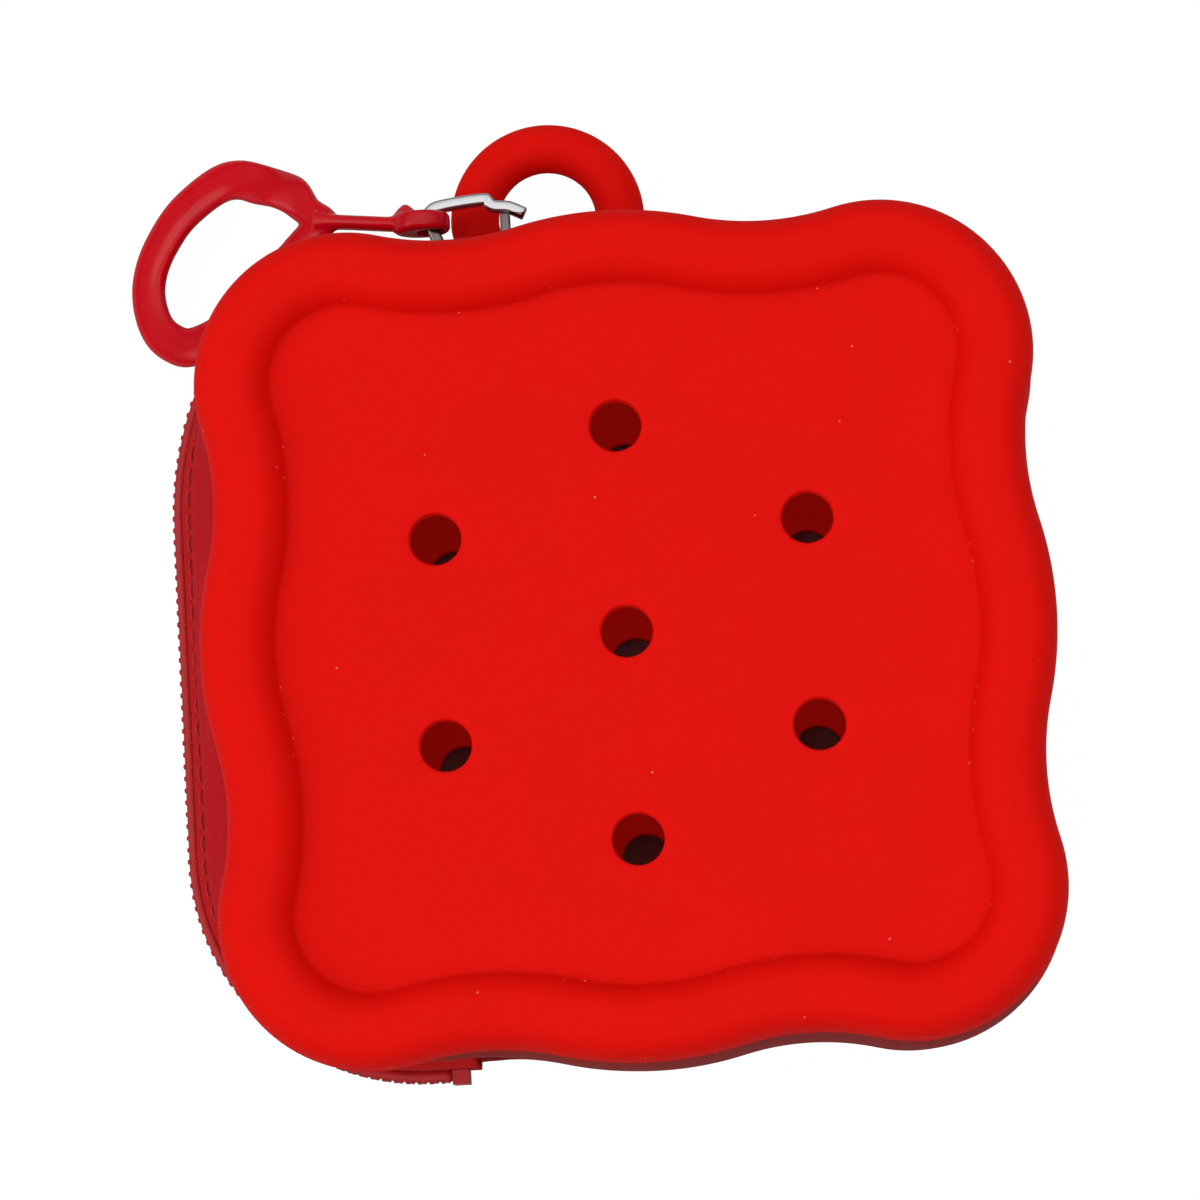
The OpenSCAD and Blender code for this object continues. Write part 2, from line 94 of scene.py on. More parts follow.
class PurseZip(bpy.types.PropertyGroup):
    left_proud: length("Left", "How far the chain stands proud of the rim on the left", 3.7)
    top_proud: length("Top", "How far it stands proud on the top side, where it lies within the rim", -0.7)
    low_proud: length("Bottom", "How far it stands proud on the bottom side", 0.6)
    low_r: length("Bottom corner", "Radius of the chain round the bottom corner", 23.5)
    top_r: length("Top corner", "Radius of the chain round the top corner", 12.5)
    bend_r: length("Long bend", "Radius of the bend from the left side into the top corner", 36)
    bend: FloatProperty(name="Bend", description="Angle of the long bend", default=math.asin(0.6),
                        subtype="ANGLE")
    pitch: length("Pitch", "Distance from tooth to tooth in a row", 1.2)
    coil_t: length("Coil", "Thickness of the coil", 1.3)
    tape_t: length("Tape", "Thickness of the tape", 0.6)
    stitch_pitch: length("Stitch pitch", "Distance from stitch to stitch", 2.3)
    tape_colour: paint("Tape", "Colour of the tape", (0.58, 0.009, 0.011))
    coil_colour: paint("Coil", "Colour of the coil", (0.46, 0.009, 0.012))


class PurseSlider(bpy.types.PropertyGroup):
    width: length("Width", "Width of the plates", 7.2)
    plate_t: length("Plate", "Thickness of the top plate", 0.9)
    crown_h: length("Crown height", "Height of the crown over the plate", 5.1)
    crown_w: length("Crown width", "Width of the crown's strip", 1.6)
    crown_t: length("Crown thickness", "Thickness of the crown's strip", 1.25)
    colour: paint("Nickel", "Colour of the plating", (0.56, 0.56, 0.57))


class PursePull(bpy.types.PropertyGroup):
    loop: length("Loop", "Length of the loop", 25)
    band_w: length("Band width", "Width of the band", 4)
    band_t: length("Band thickness", "Thickness of the band", 1.9)
    droop: FloatProperty(name="Droop", description="Angle of the loop to the table",
                         default=math.radians(33), subtype="ANGLE")
    colour: paint("Soft plastic", "Colour of the pull", (0.6, 0.002, 0.01))


class PurseStage(bpy.types.PropertyGroup):
    lamp: FloatProperty(name="Lamp", description="Power of the large lamp", default=1.3, unit="POWER")
    sky: FloatProperty(name="Sky", description="Strength of the light from above", default=1.44)
    floor_share: FloatProperty(name="Floor", description="Share of the floor's own white",
                               default=0.9, subtype="FACTOR", min=0, max=1)
    seed: IntProperty(name="Seed", description="Seed of the random changes", default=7)


# Lines and outlines, in metres

def unit(v):
    return v / np.linalg.norm(v, axis=-1, keepdims=True)


def heading(line):
    """Direction at each point of a line."""
    return unit(np.gradient(line, axis=0))


def travelled(line):
    """Way from the line's start to each of its points."""
    return np.concatenate([[0], np.cumsum(np.linalg.norm(np.diff(line, axis=0), axis=1))])


def smooth_line(points, per, closed=False):
    """Points of a curve that runs through the given ones, with per steps for each stretch."""
    p = np.array(points, float)
    n = len(p)
    at = (lambda i: p[i % n]) if closed else (lambda i: p[min(max(i, 0), n - 1)])
    out = []
    for i in range(n if closed else n - 1):
        a, b, c, d = at(i - 1), at(i), at(i + 1), at(i + 2)
        for k in range(per):
            t = k / per
            out.append(0.5 * (2 * b + (c - a) * t + (2 * a - 5 * b + 4 * c - d) * t ** 2
                              + (3 * b - a - 3 * c + d) * t ** 3))
    if not closed:
        out.append(p[-1])
    return np.array(out)


def angle_of(v):
    return math.atan2(v[1], v[0])


def meet(a, ra, b, rb):
    """Centre of a circle that touches two others from outside."""
    a, b = np.array(a), np.array(b)
    d = np.linalg.norm(b - a)
    along = (ra * ra - rb * rb + d * d) / (2 * d)
    aside = math.sqrt(ra * ra - along * along)
    u = (b - a) / d
    return a + along * u + aside * np.array([u[1], -u[0]])


def full_turn(n):
    """Even angles round a full turn."""
    return np.linspace(0, math.tau, n, endpoint=False)


def rounded(n, wide, thick, wide_power, thick_power):
    """Points of a rounded section, as offsets across and through it; lower powers make it squarer."""
    turn = full_turn(n)
    co, si = np.cos(turn), np.sin(turn)
    return np.stack([np.copysign(np.abs(co) ** wide_power, co) * wide / 2,
                     np.copysign(np.abs(si) ** thick_power, si) * thick / 2], 1)


def arc(c, r, start, end, n, side=1):
    a = np.linspace(start, end, n, endpoint=False)
    d = np.stack([np.cos(a), np.sin(a)], 1)
    return np.hstack([np.array(c) + r * d, side * d])


WAVE_STEPS, DIP_STEPS, CORNER_STEPS = 12, 22, 18


def rim_outline(s):
    """Stations of the rim's outline: place and outward direction, anticlockwise."""
    c = s.half_width - s.corner_inset - s.corner_r
    wave = (s.half_width - s.wave_r, 0)
    dip = meet(wave, s.wave_r + s.dip_r, (c, c), s.corner_r + s.dip_r)
    wave_end = angle_of(dip - np.array(wave))
    corner_start = angle_of(dip - np.array([c, c]))
    half = np.vstack([
        arc(wave, s.wave_r, 0, wave_end, WAVE_STEPS),
        arc(dip, s.dip_r, math.pi + wave_end, math.pi + corner_start, DIP_STEPS, -1),
        arc((c, c), s.corner_r, corner_start, math.pi / 4, CORNER_STEPS),
    ])
    d = math.sqrt(0.5)
    tip = [[c + s.corner_r * d, c + s.corner_r * d, d, d]]
    side = np.vstack([half, tip, half[:0:-1][:, [1, 0, 3, 2]]])
    turns = []
    for k in range(4):
        co, si = round(math.cos(k * math.pi / 2)), round(math.sin(k * math.pi / 2))
        turn = np.array([[co, si], [-si, co]])
        turns.append(np.hstack([side[:, :2] @ turn, side[:, 2:] @ turn]))
    return np.vstack(turns)


def zip_sides(s, z):
    """The chain's outer face on the left, top and bottom side, measured from the middle."""
    return s.half_width + z.left_proud, s.half_width + z.top_proud, s.half_width + z.low_proud


def zip_arcs(s, z):
    """Centres of the zip's arcs (top corner, long bend, bottom corner) and the way from bend to corner."""
    left, top, low = zip_sides(s, z)
    way = np.array([-math.cos(z.bend), math.sin(z.bend)])
    bend = np.array([z.bend_r - left, top - z.top_r - (z.bend_r - z.top_r) * way[1]])
    return bend + (z.bend_r - z.top_r) * way, bend, np.array([z.low_r - left, z.low_r - low]), way


def zip_at(p, s, z, inset):
    """Point of the zip's rounded path in the direction of p, moved inwards by an inset."""
    left, top, low = (v - inset for v in zip_sides(s, z))
    top_c, bend_c, low_c, way = zip_arcs(s, z)
    upper = p[1] > 0
    side, c = (top, top_c) if upper else (low, low_c)
    x_side = p[0] / max(abs(p[1]), 1e-9) * side
    if x_side > c[0]:
        return np.array([x_side, math.copysign(side, p[1])])
    y_left = p[1] / -p[0] * left
    if low_c[1] < y_left < bend_c[1]:
        return np.array([-left, y_left])
    join = bend_c + (z.bend_r - inset) * way
    if upper and p[0] * join[1] <= p[1] * join[0]:
        c, r = bend_c, z.bend_r - inset
    else:
        r = (z.top_r if upper else z.low_r) - inset
    u = p / np.linalg.norm(p)
    b = u @ c
    return (b + math.sqrt(b * b - c @ c + r * r)) * u


WINDOW_TOP_IN, WINDOW_LOW_IN, WINDOW_BLEND = 37 * MM, 25.5 * MM, 4 * MM
WINDOW_HALF, LIP_IN = 5.5 * MM, 2.2 * MM


def ease(t):
    u = min(1, max(0, t))
    return u * u * (3 - 2 * u)


def zip_share(p, s):
    end = (WINDOW_TOP_IN if p[1] > 0 else WINDOW_LOW_IN) - s.half_width
    return ease((end + WINDOW_BLEND - p[0]) / WINDOW_BLEND)


PATH_STEP, PATH_STEP_DEG = 0.8 * MM, 2


def zip_path(s, z, top_in, low_in):
    """Stations of the chain's outer face from its top end to its bottom end: place and outward direction."""
    left, top, low = zip_sides(s, z)
    top_c, bend_c, low_c, _ = zip_arcs(s, z)
    turn = math.degrees(z.bend)
    out = []

    def run(a, b, n):
        count = max(2, round(math.dist(a, b) / PATH_STEP))
        for t in np.linspace(0, 1, count, endpoint=False):
            out.append([a[0] + (b[0] - a[0]) * t, a[1] + (b[1] - a[1]) * t, *n])

    def corner(c, r, start, span):
        count = round(span / PATH_STEP_DEG)
        for a in np.radians(np.linspace(start, start + span, count, endpoint=False)):
            out.append([c[0] + r * math.cos(a), c[1] + r * math.sin(a), math.cos(a), math.sin(a)])

    run((top_in - s.half_width, top), (top_c[0], top), (0, 1))
    corner(top_c, z.top_r, 90, 90 - turn)
    corner(bend_c, z.bend_r, 180 - turn, turn)
    run((-left, bend_c[1]), (-left, low_c[1]), (-1, 0))
    corner(low_c, z.low_r, 180, 90)
    run((low_c[0], -low), (low_in - s.half_width, -low), (0, -1))
    out.append([low_in - s.half_width, -low, 0, -1])
    return np.array(out)


# Meshes

def new_object(name, data):
    """An object that is linked into the scene."""
    made = bpy.data.objects.new(name, data)
    bpy.context.scene.collection.objects.link(made)
    return made


def make_piece(name, verts, faces, material, smooth=True, uv=None):
    """A mesh object from points and faces, with its material."""
    mesh = bpy.data.meshes.new(name)
    mesh.from_pydata([tuple(v) for v in verts], [], [tuple(f) for f in faces])
    if uv is not None:
        layer = mesh.uv_layers.new(name="UVMap")
        corner = np.empty(len(mesh.loops), int)
        mesh.loops.foreach_get("vertex_index", corner)
        layer.data.foreach_set("uv", np.asarray(uv, np.float32)[corner].ravel())
    if smooth:
        mesh.shade_smooth()
    mesh.materials.append(material)
    mesh.validate()
    mesh.update()
    return new_object(name, mesh)


def skin(rings, closed=False, caps=True):
    """Points and faces of a skin through rings of equal length."""
    m, n = len(rings), len(rings[0])
    verts = np.concatenate(rings)
    faces = []
    for j in range(m if closed else m - 1):
        a, b = j * n, (j + 1) % m * n
        faces += [(a + i, a + (i + 1) % n, b + (i + 1) % n, b + i) for i in range(n)]
    if caps and not closed:
        faces.append(tuple(range(n - 1, -1, -1)))
        faces.append(tuple((m - 1) * n + i for i in range(n)))
    return verts, faces


def outward(piece):
    """Turns the faces of a closed mesh outwards."""
    b = bmesh.new()
    b.from_mesh(piece.data)
    bmesh.ops.recalc_face_normals(b, faces=b.faces)
    b.to_mesh(piece.data)
    b.free()
    return piece


def join(pieces, name):
    """Joins pieces into the first of them."""
    first = pieces[0]
    with bpy.context.temp_override(active_object=first, selected_editable_objects=pieces, object=first):
        bpy.ops.object.join()
    first.name = first.data.name = name
    return first


def plain_copy(piece, name):
    """Replaces an object by its evaluated result, as a plain mesh with no modifier."""
    bpy.context.view_layer.update()
    got = piece.evaluated_get(bpy.context.evaluated_depsgraph_get())
    mesh = bpy.data.meshes.new_from_object(got)
    mesh.name = name
    bpy.data.objects.remove(piece)
    return new_object(name, mesh)


# Materials

class Value:
    """A socket in a node tree; arithmetic on it adds Math nodes."""

    def __init__(self, paints, socket):
        self.paints, self.socket = paints, socket

    def _with(self, operation, *values):
        return self.paints.node("ShaderNodeMath", {"operation": operation}, dict(enumerate(values))).out(0)

    def __add__(self, other):
        return self._with("ADD", self, other)

    def __sub__(self, other):
        return self._with("SUBTRACT", self, other)

    def __rsub__(self, other):
        return self._with("SUBTRACT", other, self)

    def __mul__(self, other):
        return self._with("MULTIPLY", self, other)

    def __truediv__(self, other):
        return self._with("DIVIDE", self, other)

    def __pow__(self, other):
        return self._with("POWER", self, other)

    def __lt__(self, other):
        return self._with("LESS_THAN", self, other)

    def __gt__(self, other):
        return self._with("GREATER_THAN", self, other)

    def __abs__(self):
        return self._with("ABSOLUTE", self)

    def larger(self, other):
        return self._with("MAXIMUM", self, other)

    def sine(self):
        return self._with("SINE", self)

    __radd__ = __add__
    __rmul__ = __mul__


class Made:
    """A node that was made, with its outputs as values."""

    def __init__(self, paints, node):
        self.paints, self.node = paints, node

    def out(self, key):
        return Value(self.paints, self.node.outputs[key])


class Paints:
    """Builds one node tree: a new material's, or the one that is given."""

    def __init__(self, name, tree=None):
        if tree is None:
            self.material = bpy.data.materials.new(name)
            self.material.use_nodes = True
            tree = self.material.node_tree
        self.tree = tree
        self.tree.nodes.clear()

    def node(self, kind, settings=None, inputs=None):
        made = self.tree.nodes.new(kind)
        for key, value in (settings or {}).items():
            setattr(made, key, value)
        for key, value in (inputs or {}).items():
            if isinstance(value, Value):
                self.tree.links.new(value.socket, made.inputs[key])
            else:
                made.inputs[key].default_value = value
        return Made(self, made)

    def place(self):
        return self.node("ShaderNodeTexCoord").out("Object")

    def uv(self):
        return self.node("ShaderNodeTexCoord").out("UV")

    def split(self, where):
        """The three coordinates of a place, as values."""
        made = self.node("ShaderNodeSeparateXYZ", {}, {0: where})
        return made.out(0), made.out(1), made.out(2)

    def cells(self, where, size):
        """Distance to the middle of the nearest random cell, in cells."""
        return self.node("ShaderNodeTexVoronoi", {}, {"Vector": where, "Scale": 1 / size}).out("Distance")

    def noise(self, where, size, detail):
        return self.node("ShaderNodeTexNoise", {}, {"Vector": where, "Scale": 1 / size,
                                                    "Detail": detail}).out("Fac")

    def mix(self, share, a, b):
        """Two colours mixed by a share; the numbers are the Mix node's colour sockets."""
        a, b = (colour if isinstance(colour, Value) else (*colour, 1) for colour in (a, b))
        return self.node("ShaderNodeMix", {"data_type": "RGBA"}, {0: share, 6: a, 7: b}).out(2)

    def bump(self, height, distance, strength):
        return self.node("ShaderNodeBump", {}, {"Height": height, "Distance": distance,
                                                "Strength": strength}).out("Normal")

    def finish(self, **sockets):
        names = {key.replace("_", " "): value for key, value in sockets.items()}
        shader = self.node("ShaderNodeBsdfPrincipled", {}, names)
        self.node("ShaderNodeOutputMaterial", {}, {"Surface": shader.out(0)})
        return self.material


def scaled(rgb, k):
    return tuple(c * k for c in rgb)


MOTTLE_SIZE, GRAIN_SIZE, PATCH_SIZE = 9 * MM, 0.16 * MM, 5 * MM
DUST_SIZE, LINT_SIZE = 3.1 * MM, 1.1 * MM
CREASE_FROM, CREASE_TO = 0.05 * MM, 1.2 * MM
# Painted shade and painted reflection: the bottom side below the front rim turns a brownish dark red
LOW_SHADE_IN, LOW_SHADE_DROP = 6 * MM, 4 * MM
# Painted shade: the walls on the left, between the rims, are tinted a darker wine
WALL_SHADE_HALF, WALL_SHADE_LEFT_OF = 11.6 * MM, -26 * MM
# Painted light: a glow on the inner faces in the middle stands for light that comes into the pocket
GLOW_HALF, GLOW_DROP = 34 * MM, 0.8 * MM
DUST_COLOUR, GLOW_COLOUR = (0.86, 0.42, 0.38), (0.078, 0.0014, 0.0006)
WALL_SHADE_COLOUR, LOW_SHADE_COLOUR = (0.42, 0.008, 0.016), (0.19, 0.024, 0.021)


def silicone(s):
    """Matt silicone: faint mottling, a fine grain and pale specks of dust, most of them along the crease,
    with painted shade on the left and bottom walls and a painted glow inside the pocket.
    """
    p = Paints("matt_silicone")
    at = p.place()
    mottle = p.noise(at, MOTTLE_SIZE, 3)
    grain = p.noise(at, GRAIN_SIZE, 2)
    patch = p.noise(at, PATCH_SIZE, 1)
    x, y, level = p.split(at)
    crease = (level > s.depth + CREASE_FROM) * (level < s.depth + CREASE_TO)
    dust = (p.cells(at, DUST_SIZE) < 0.035) * (patch > 0.56)
    lint = (p.cells(at, LINT_SIZE) < 0.09) * (patch > 0.5) * crease
    # Painted shade and painted reflection on the bottom side, low down
    low_shade = (y < LOW_SHADE_IN - s.half_width) * (level < s.depth - LOW_SHADE_DROP)
    # Painted shade on the middle band of the left walls
    wall = (abs(level - s.depth / 2) < WALL_SHADE_HALF) * (x < WALL_SHADE_LEFT_OF)
    # Painted light: the inside of the pocket glows as if lit through the vents
    middle = abs(x).larger(abs(y)) < GLOW_HALF
    glow = middle * (level < s.depth - GLOW_DROP) * (level > 0.8 * s.panel_t)
    base = p.mix(mottle, scaled(s.colour, 0.95), scaled(s.colour, 1.05))
    base = p.mix(wall * 0.8, base, WALL_SHADE_COLOUR)
    base = p.mix(low_shade * 0.85, base, LOW_SHADE_COLOUR)
    return p.finish(
        Base_Color=p.mix((dust + lint) * 0.45, base, DUST_COLOUR), Roughness=mottle * 0.12 + 0.58,
        Specular_IOR_Level=0.04, Normal=p.bump(grain, 0.02 * MM, 0.35),
        Subsurface_Weight=0.4, Subsurface_Radius=(1, 0.15, 0.08), Subsurface_Scale=2.5 * MM,
        Emission_Color=p.mix(glow, (0, 0, 0), GLOW_COLOUR), Emission_Strength=1.0,
    )


YARN = 0.34 * MM


def woven_tape(z):
    """Tape with a fine twill, along the piece's own map in metres."""
    p = Paints("woven_tape")
    along, across, _ = p.split(p.uv())
    warp = (across / YARN * math.tau).sine()
    twill = ((along / (YARN * 1.6) + across / (YARN * 1.1)) * math.tau).sine()
    height = warp * 0.35 + twill * 0.5 + 0.5
    wear = p.noise(p.place(), 2.5 * MM, 3)
    dark = p.mix(wear, scaled(z.tape_colour, 0.7), scaled(z.tape_colour, 0.85))
    colour = p.mix(height, dark, scaled(z.tape_colour, 1.12))
    return p.finish(Base_Color=colour, Roughness=0.86, Specular_IOR_Level=0.15,
                    Normal=p.bump(height, 0.07 * MM, 0.9))


def nylon(name, rgb, rough=0.42):
    """Slightly glossy spun plastic, for the coil and the thread."""
    p = Paints(name)
    at = p.place()
    vary = p.noise(at, 1.4 * MM, 2)
    fibre = p.noise(at, 0.09 * MM, 2)
    return p.finish(
        Base_Color=p.mix(vary, scaled(rgb, 0.78), scaled(rgb, 1.15)),
        Roughness=vary * 0.15 + rough, Specular_IOR_Level=0.32, Normal=p.bump(fibre, 0.015 * MM, 0.5),
    )


# Painted reflection and shade: the colour of the slider's low parts
DARK_REFLECTION_COLOUR = (0.07, 0.03, 0.03)


def nickel(slider, dark_reflection_y):
    """Bright plating with faint handling marks; low down it is painted dark, as a painted reflection of the
    red purse and painted shade.
    """
    p = Paints("bright_nickel")
    at = p.place()
    marks = p.noise(at, 0.8 * MM, 4)
    ripple = p.noise(at, 2.2 * MM, 1)
    # Painted reflection and shade: below a height the plating turns dark
    low = p.split(at)[1] + marks * 0.6 * MM < dark_reflection_y
    bright = p.mix(marks, scaled(slider.colour, 0.86), slider.colour[:])
    return p.finish(
        Base_Color=p.mix(low * 0.8, bright, DARK_REFLECTION_COLOUR),
        Metallic=1.0, Roughness=marks * 0.14 + 0.12, Normal=p.bump(ripple, 0.03 * MM, 0.5),
    )


def soft_plastic(pull):
    """Glossy soft plastic that lets a little light through."""
    p = Paints("clear_soft_plastic")
    at = p.place()
    cloud = p.noise(at, 3.5 * MM, 2)
    ripple = p.noise(at, 1.8 * MM, 2)
    return p.finish(
        Base_Color=p.mix(cloud, scaled(pull.colour, 0.86), scaled(pull.colour, 1.12)),
        Roughness=cloud * 0.1 + 0.16, Specular_IOR_Level=0.16, Coat_Weight=0.1, Coat_Roughness=0.06,
        Normal=p.bump(ripple, 0.05 * MM, 0.6),
        Subsurface_Weight=0.5, Subsurface_Radius=(1, 0.1, 0.12), Subsurface_Scale=1.2 * MM,
    )


# Shell halves

CREASE_R = 0.9 * MM
VENT_FILLET = 0.3 * MM
VENT_STEPS = 56
PANEL_GRID = 1.3 * MM
RIM_SIDE, NECK_IN, NECK_DROP = 3.65 * MM, 0.9 * MM, 5.6 * MM
WALL_BULGE, INNER_FILLET = 0.5 * MM, 3.4 * MM
PART_LINE, PART_LINE_DROP, PART_LINE_W = 0.1 * MM, 0.25 * MM, 0.2 * MM
# Where the rim's inner side leaves the crease
CREST_START = math.radians(14)


def closed_row(offset, drop):
    """A row that lies the same on the closed wall and beside the zip."""
    return [offset, drop, 0, 0, drop]


def section_rows(s):
    """Rows of a half's section.

    Each has its offset and drop on the closed wall, then the share of the zip's path, and the inset and
    drop there.
    """
    half = s.depth / 2 + s.rim_rise
    side = (s.rim_w - s.crest_flat) / 2
    rows = []
    for a in np.linspace(0, math.pi / 2, 7)[:-1]:
        rows.append(closed_row(-s.rim_w - CREASE_R * 0.55 * (1 - math.sin(a)),
                               s.rim_rise - CREASE_R * 0.62 * (1 - math.cos(a))))
    for a in np.linspace(CREST_START, math.pi / 2, 13):
        rows.append(closed_row(-s.rim_w + side * (1 - math.cos(a)), s.rim_rise * (1 - math.sin(a))))
    for a in np.linspace(math.pi / 2, 0, 16):
        rows.append(closed_row(side * (math.cos(a) - 1), RIM_SIDE * (1 - math.sin(a))))
    line_at = RIM_SIDE + PART_LINE_DROP
    rows += [closed_row(PART_LINE, line_at), closed_row(0, line_at + PART_LINE_W)]
    wall = [
        rows[-1],
        closed_row(-NECK_IN * 0.3, RIM_SIDE * 0.3 + NECK_DROP * 0.7),
        closed_row(-NECK_IN, NECK_DROP),
        [WALL_BULGE - NECK_IN, half * 0.5, 0.45, LIP_IN, NECK_DROP + WINDOW_HALF * 0.45],
        [WALL_BULGE / 2, half * 0.72, 0.8, LIP_IN, NECK_DROP + WINDOW_HALF * 0.85],
        [WALL_BULGE, half, 1, LIP_IN, half - WINDOW_HALF],
    ]
    rows += [list(r) for r in smooth_line(wall, 6)[1:]]
    inner = [
        [WALL_BULGE - s.wall_t, half, 1, LIP_IN + s.lip_t, half - WINDOW_HALF],
        [-NECK_IN - s.wall_t, half * 0.6, 0.7, LIP_IN + s.wall_t, half - WINDOW_HALF * 1.3],
        [-NECK_IN - INNER_FILLET, s.rim_rise + s.panel_t + INNER_FILLET * 0.7, 0.2, LIP_IN + s.wall_t,
         s.rim_rise + s.panel_t + INNER_FILLET * 0.7],
        [-NECK_IN - 2 * INNER_FILLET, s.rim_rise + s.panel_t, 0, 0, s.rim_rise + s.panel_t],
    ]
    rows += [list(r) for r in smooth_line(inner, 5)]
    return rows


def row_points(outline, row, s, z):
    """One ring of the skin, as places with their heights on the front side."""
    crest = s.depth + s.rim_rise
    out = []
    for x, y, nx, ny in outline:
        share = zip_share((x, y), s)
        p = np.array([x + row[0] * nx, y + row[0] * ny])
        k = row[2] * share
        if k > 0:
            p = p * (1 - k) + zip_at(np.array([x, y]), s, z, row[3]) * k
        out.append([p[0], p[1], crest - (row[1] * (1 - share) + row[4] * share)])
    return np.array(out)


def vent_places(s):
    x, y = s.vent_x, s.vent_y
    return [(0, 0), (0, 2 * y), (0, -2 * y), (x, y), (-x, y), (x, -y), (-x, -y)]


def inside(points, loop):
    """Which points lie inside a closed loop."""
    x, y = points[:, 0], points[:, 1]
    hit = np.zeros(len(points), bool)
    for a, b in zip(loop, np.roll(loop, -1, 0)):
        cross = (a[1] > y) != (b[1] > y)
        with np.errstate(divide="ignore", invalid="ignore"):
            hit ^= cross & (x < (b[0] - a[0]) * (y - a[1]) / (b[1] - a[1]) + a[0])
    return hit


def panel_faces(loop, vents, s):
    """Triangles of a flat panel inside a loop and round the vents, with its inner points."""
    r = s.vent_d / 2 + VENT_FILLET
    reach = np.arange(-s.half_width, s.half_width, PANEL_GRID)
    grid = np.array([(x, y) for x in reach for y in reach])
    near = np.min(np.linalg.norm(grid[:, None] - loop[None, ::4], axis=2), axis=1)
    keep = inside(grid, loop) & (near > 0.9 * PANEL_GRID)
    for c in vent_places(s):
        keep &= np.linalg.norm(grid - c, axis=1) > r + 0.5 * PANEL_GRID
    grid = grid[keep]
    points = np.vstack([loop, *vents, grid])
    edges, start = [], 0
    for ring in (loop, *vents):
        edges += [(start + i, start + (i + 1) % len(ring)) for i in range(len(ring))]
        start += len(ring)
    got = delaunay_2d_cdt([Vector(p) for p in points], edges, [], 0, 1e-9)
    back = [olds[0] for olds in got[3]]
    faces = np.array([[back[i] for i in f] for f in got[2]])
    middle = points[faces].mean(1)
    keep = inside(middle, loop)
    for c in vent_places(s):
        keep &= np.linalg.norm(middle - c, axis=1) > r * 0.999 * math.cos(math.pi / VENT_STEPS)
    return grid, faces[keep]


def shell_half(name, s, z, material, rear):
    """One half of the moulding: rim, wall and lip, panel and vents with rounded edges."""
    outline = rim_outline(s)
    rings = [row_points(outline, row, s, z) for row in section_rows(s)]
    verts, faces = skin(rings, caps=False)
    verts, faces = list(verts), list(faces)
    n = len(outline)
    turn = full_turn(VENT_STEPS)
    circle = np.stack([np.cos(turn), np.sin(turn)], 1)
    quarter = np.linspace(0, math.pi / 2, 5)
    levels = [s.depth - VENT_FILLET * (1 - math.cos(a)) for a in quarter]
    levels = levels + [s.depth - s.panel_t + s.depth - v for v in reversed(levels)]
    radii = [s.vent_d / 2 + VENT_FILLET * (1 - math.sin(a)) for a in quarter]
    radii = radii + radii[::-1]
    vent_rows = []
    for c in vent_places(s):
        starts = []
        for level, radius in zip(levels, radii):
            starts.append(len(verts))
            verts += [np.array([*(np.array(c) + radius * d), level]) for d in circle]
        for a, b in zip(starts, starts[1:]):
            faces += [(a + i, b + i, b + (i + 1) % VENT_STEPS, a + (i + 1) % VENT_STEPS)
                      for i in range(VENT_STEPS)]
        vent_rows.append(starts)
    for ring_start, level, end in ((0, s.depth, 0), ((len(rings) - 1) * n, s.depth - s.panel_t, -1)):
        loop = np.array(verts[ring_start:ring_start + n])[:, :2]
        vents = [np.array(verts[rows[end]:rows[end] + VENT_STEPS])[:, :2] for rows in vent_rows]
        grid, flat = panel_faces(loop, vents, s)
        index = list(range(ring_start, ring_start + n))
        for rows in vent_rows:
            index += range(rows[end], rows[end] + VENT_STEPS)
        index += range(len(verts), len(verts) + len(grid))
        verts += [np.array([*g, level]) for g in grid]
        faces += [tuple(index[i] for i in f) for f in flat]
    verts = np.array(verts)
    if rear:
        verts[:, 2] = s.depth - verts[:, 2]
    return outward(make_piece(name, verts, faces, material))


def across_fold(piece):
    """Bakes a front piece's placing into its mesh."""
    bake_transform(piece)


class PURSE_OT_shell(bpy.types.Operator):
    """Make the two halves of the moulded shell"""
    bl_idname = "purse.shell"
    bl_label = "Moulded shell"

    def execute(self, context):
        s, z = context.scene.purse_shell, context.scene.purse_zip
        material = silicone(s)
        front = shell_half("moulded_front", s, z, material, rear=False)
        across_fold(front)
        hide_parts("front_shell", "front_flap")
        rear = shell_half("moulded_rear", s, z, material, rear=True)
        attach(rear, "shell")
        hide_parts("rear_shell")
        return {"FINISHED"}


# Hang ring

RING_IN, RING_R, RING_TUBE, RING_RISE, RING_DROP = 35.6 * MM, 7.5 * MM, 2.5 * MM, -1.35 * MM, 6.5 * MM
RING_START, RING_END = math.radians(-46), math.radians(192)
# Left foot: steps down from the ring's end, each with its place, its drop and its two half widths
RING_FOOT = [(-7.75, -3.4, 0, 2.75, 2.45), (-8.05, -5, 0.25, 3.1, 2.1), (-8.3, -7.1, 0.65, 3.4, 1.7)]


def ring_points(s):
    """Rings of points along the hang ring, whose left foot spreads as it runs down into the wall."""
    c = np.array([RING_IN - s.half_width, s.half_width + RING_R - RING_TUBE + RING_RISE,
                  s.depth / 2 - RING_DROP])
    turn = np.linspace(RING_START, RING_END, 22)
    line = [(RING_R * math.cos(a), RING_R * math.sin(a), 0, RING_TUBE, RING_TUBE) for a in turn]
    line += [tuple(v * MM for v in step) for step in RING_FOOT]
    line = smooth_line(line, 5)
    rings = []
    for (x, y, drop, wide, deep), t in zip(line, heading(line[:, :2])):
        across = np.array([t[1], -t[0], 0])
        rings.append(np.array([
            c + np.array([x, y, -drop]) + across * wide * math.cos(b) + np.array([0, 0, deep * math.sin(b)])
            for b in full_turn(36)
        ]))
    return rings


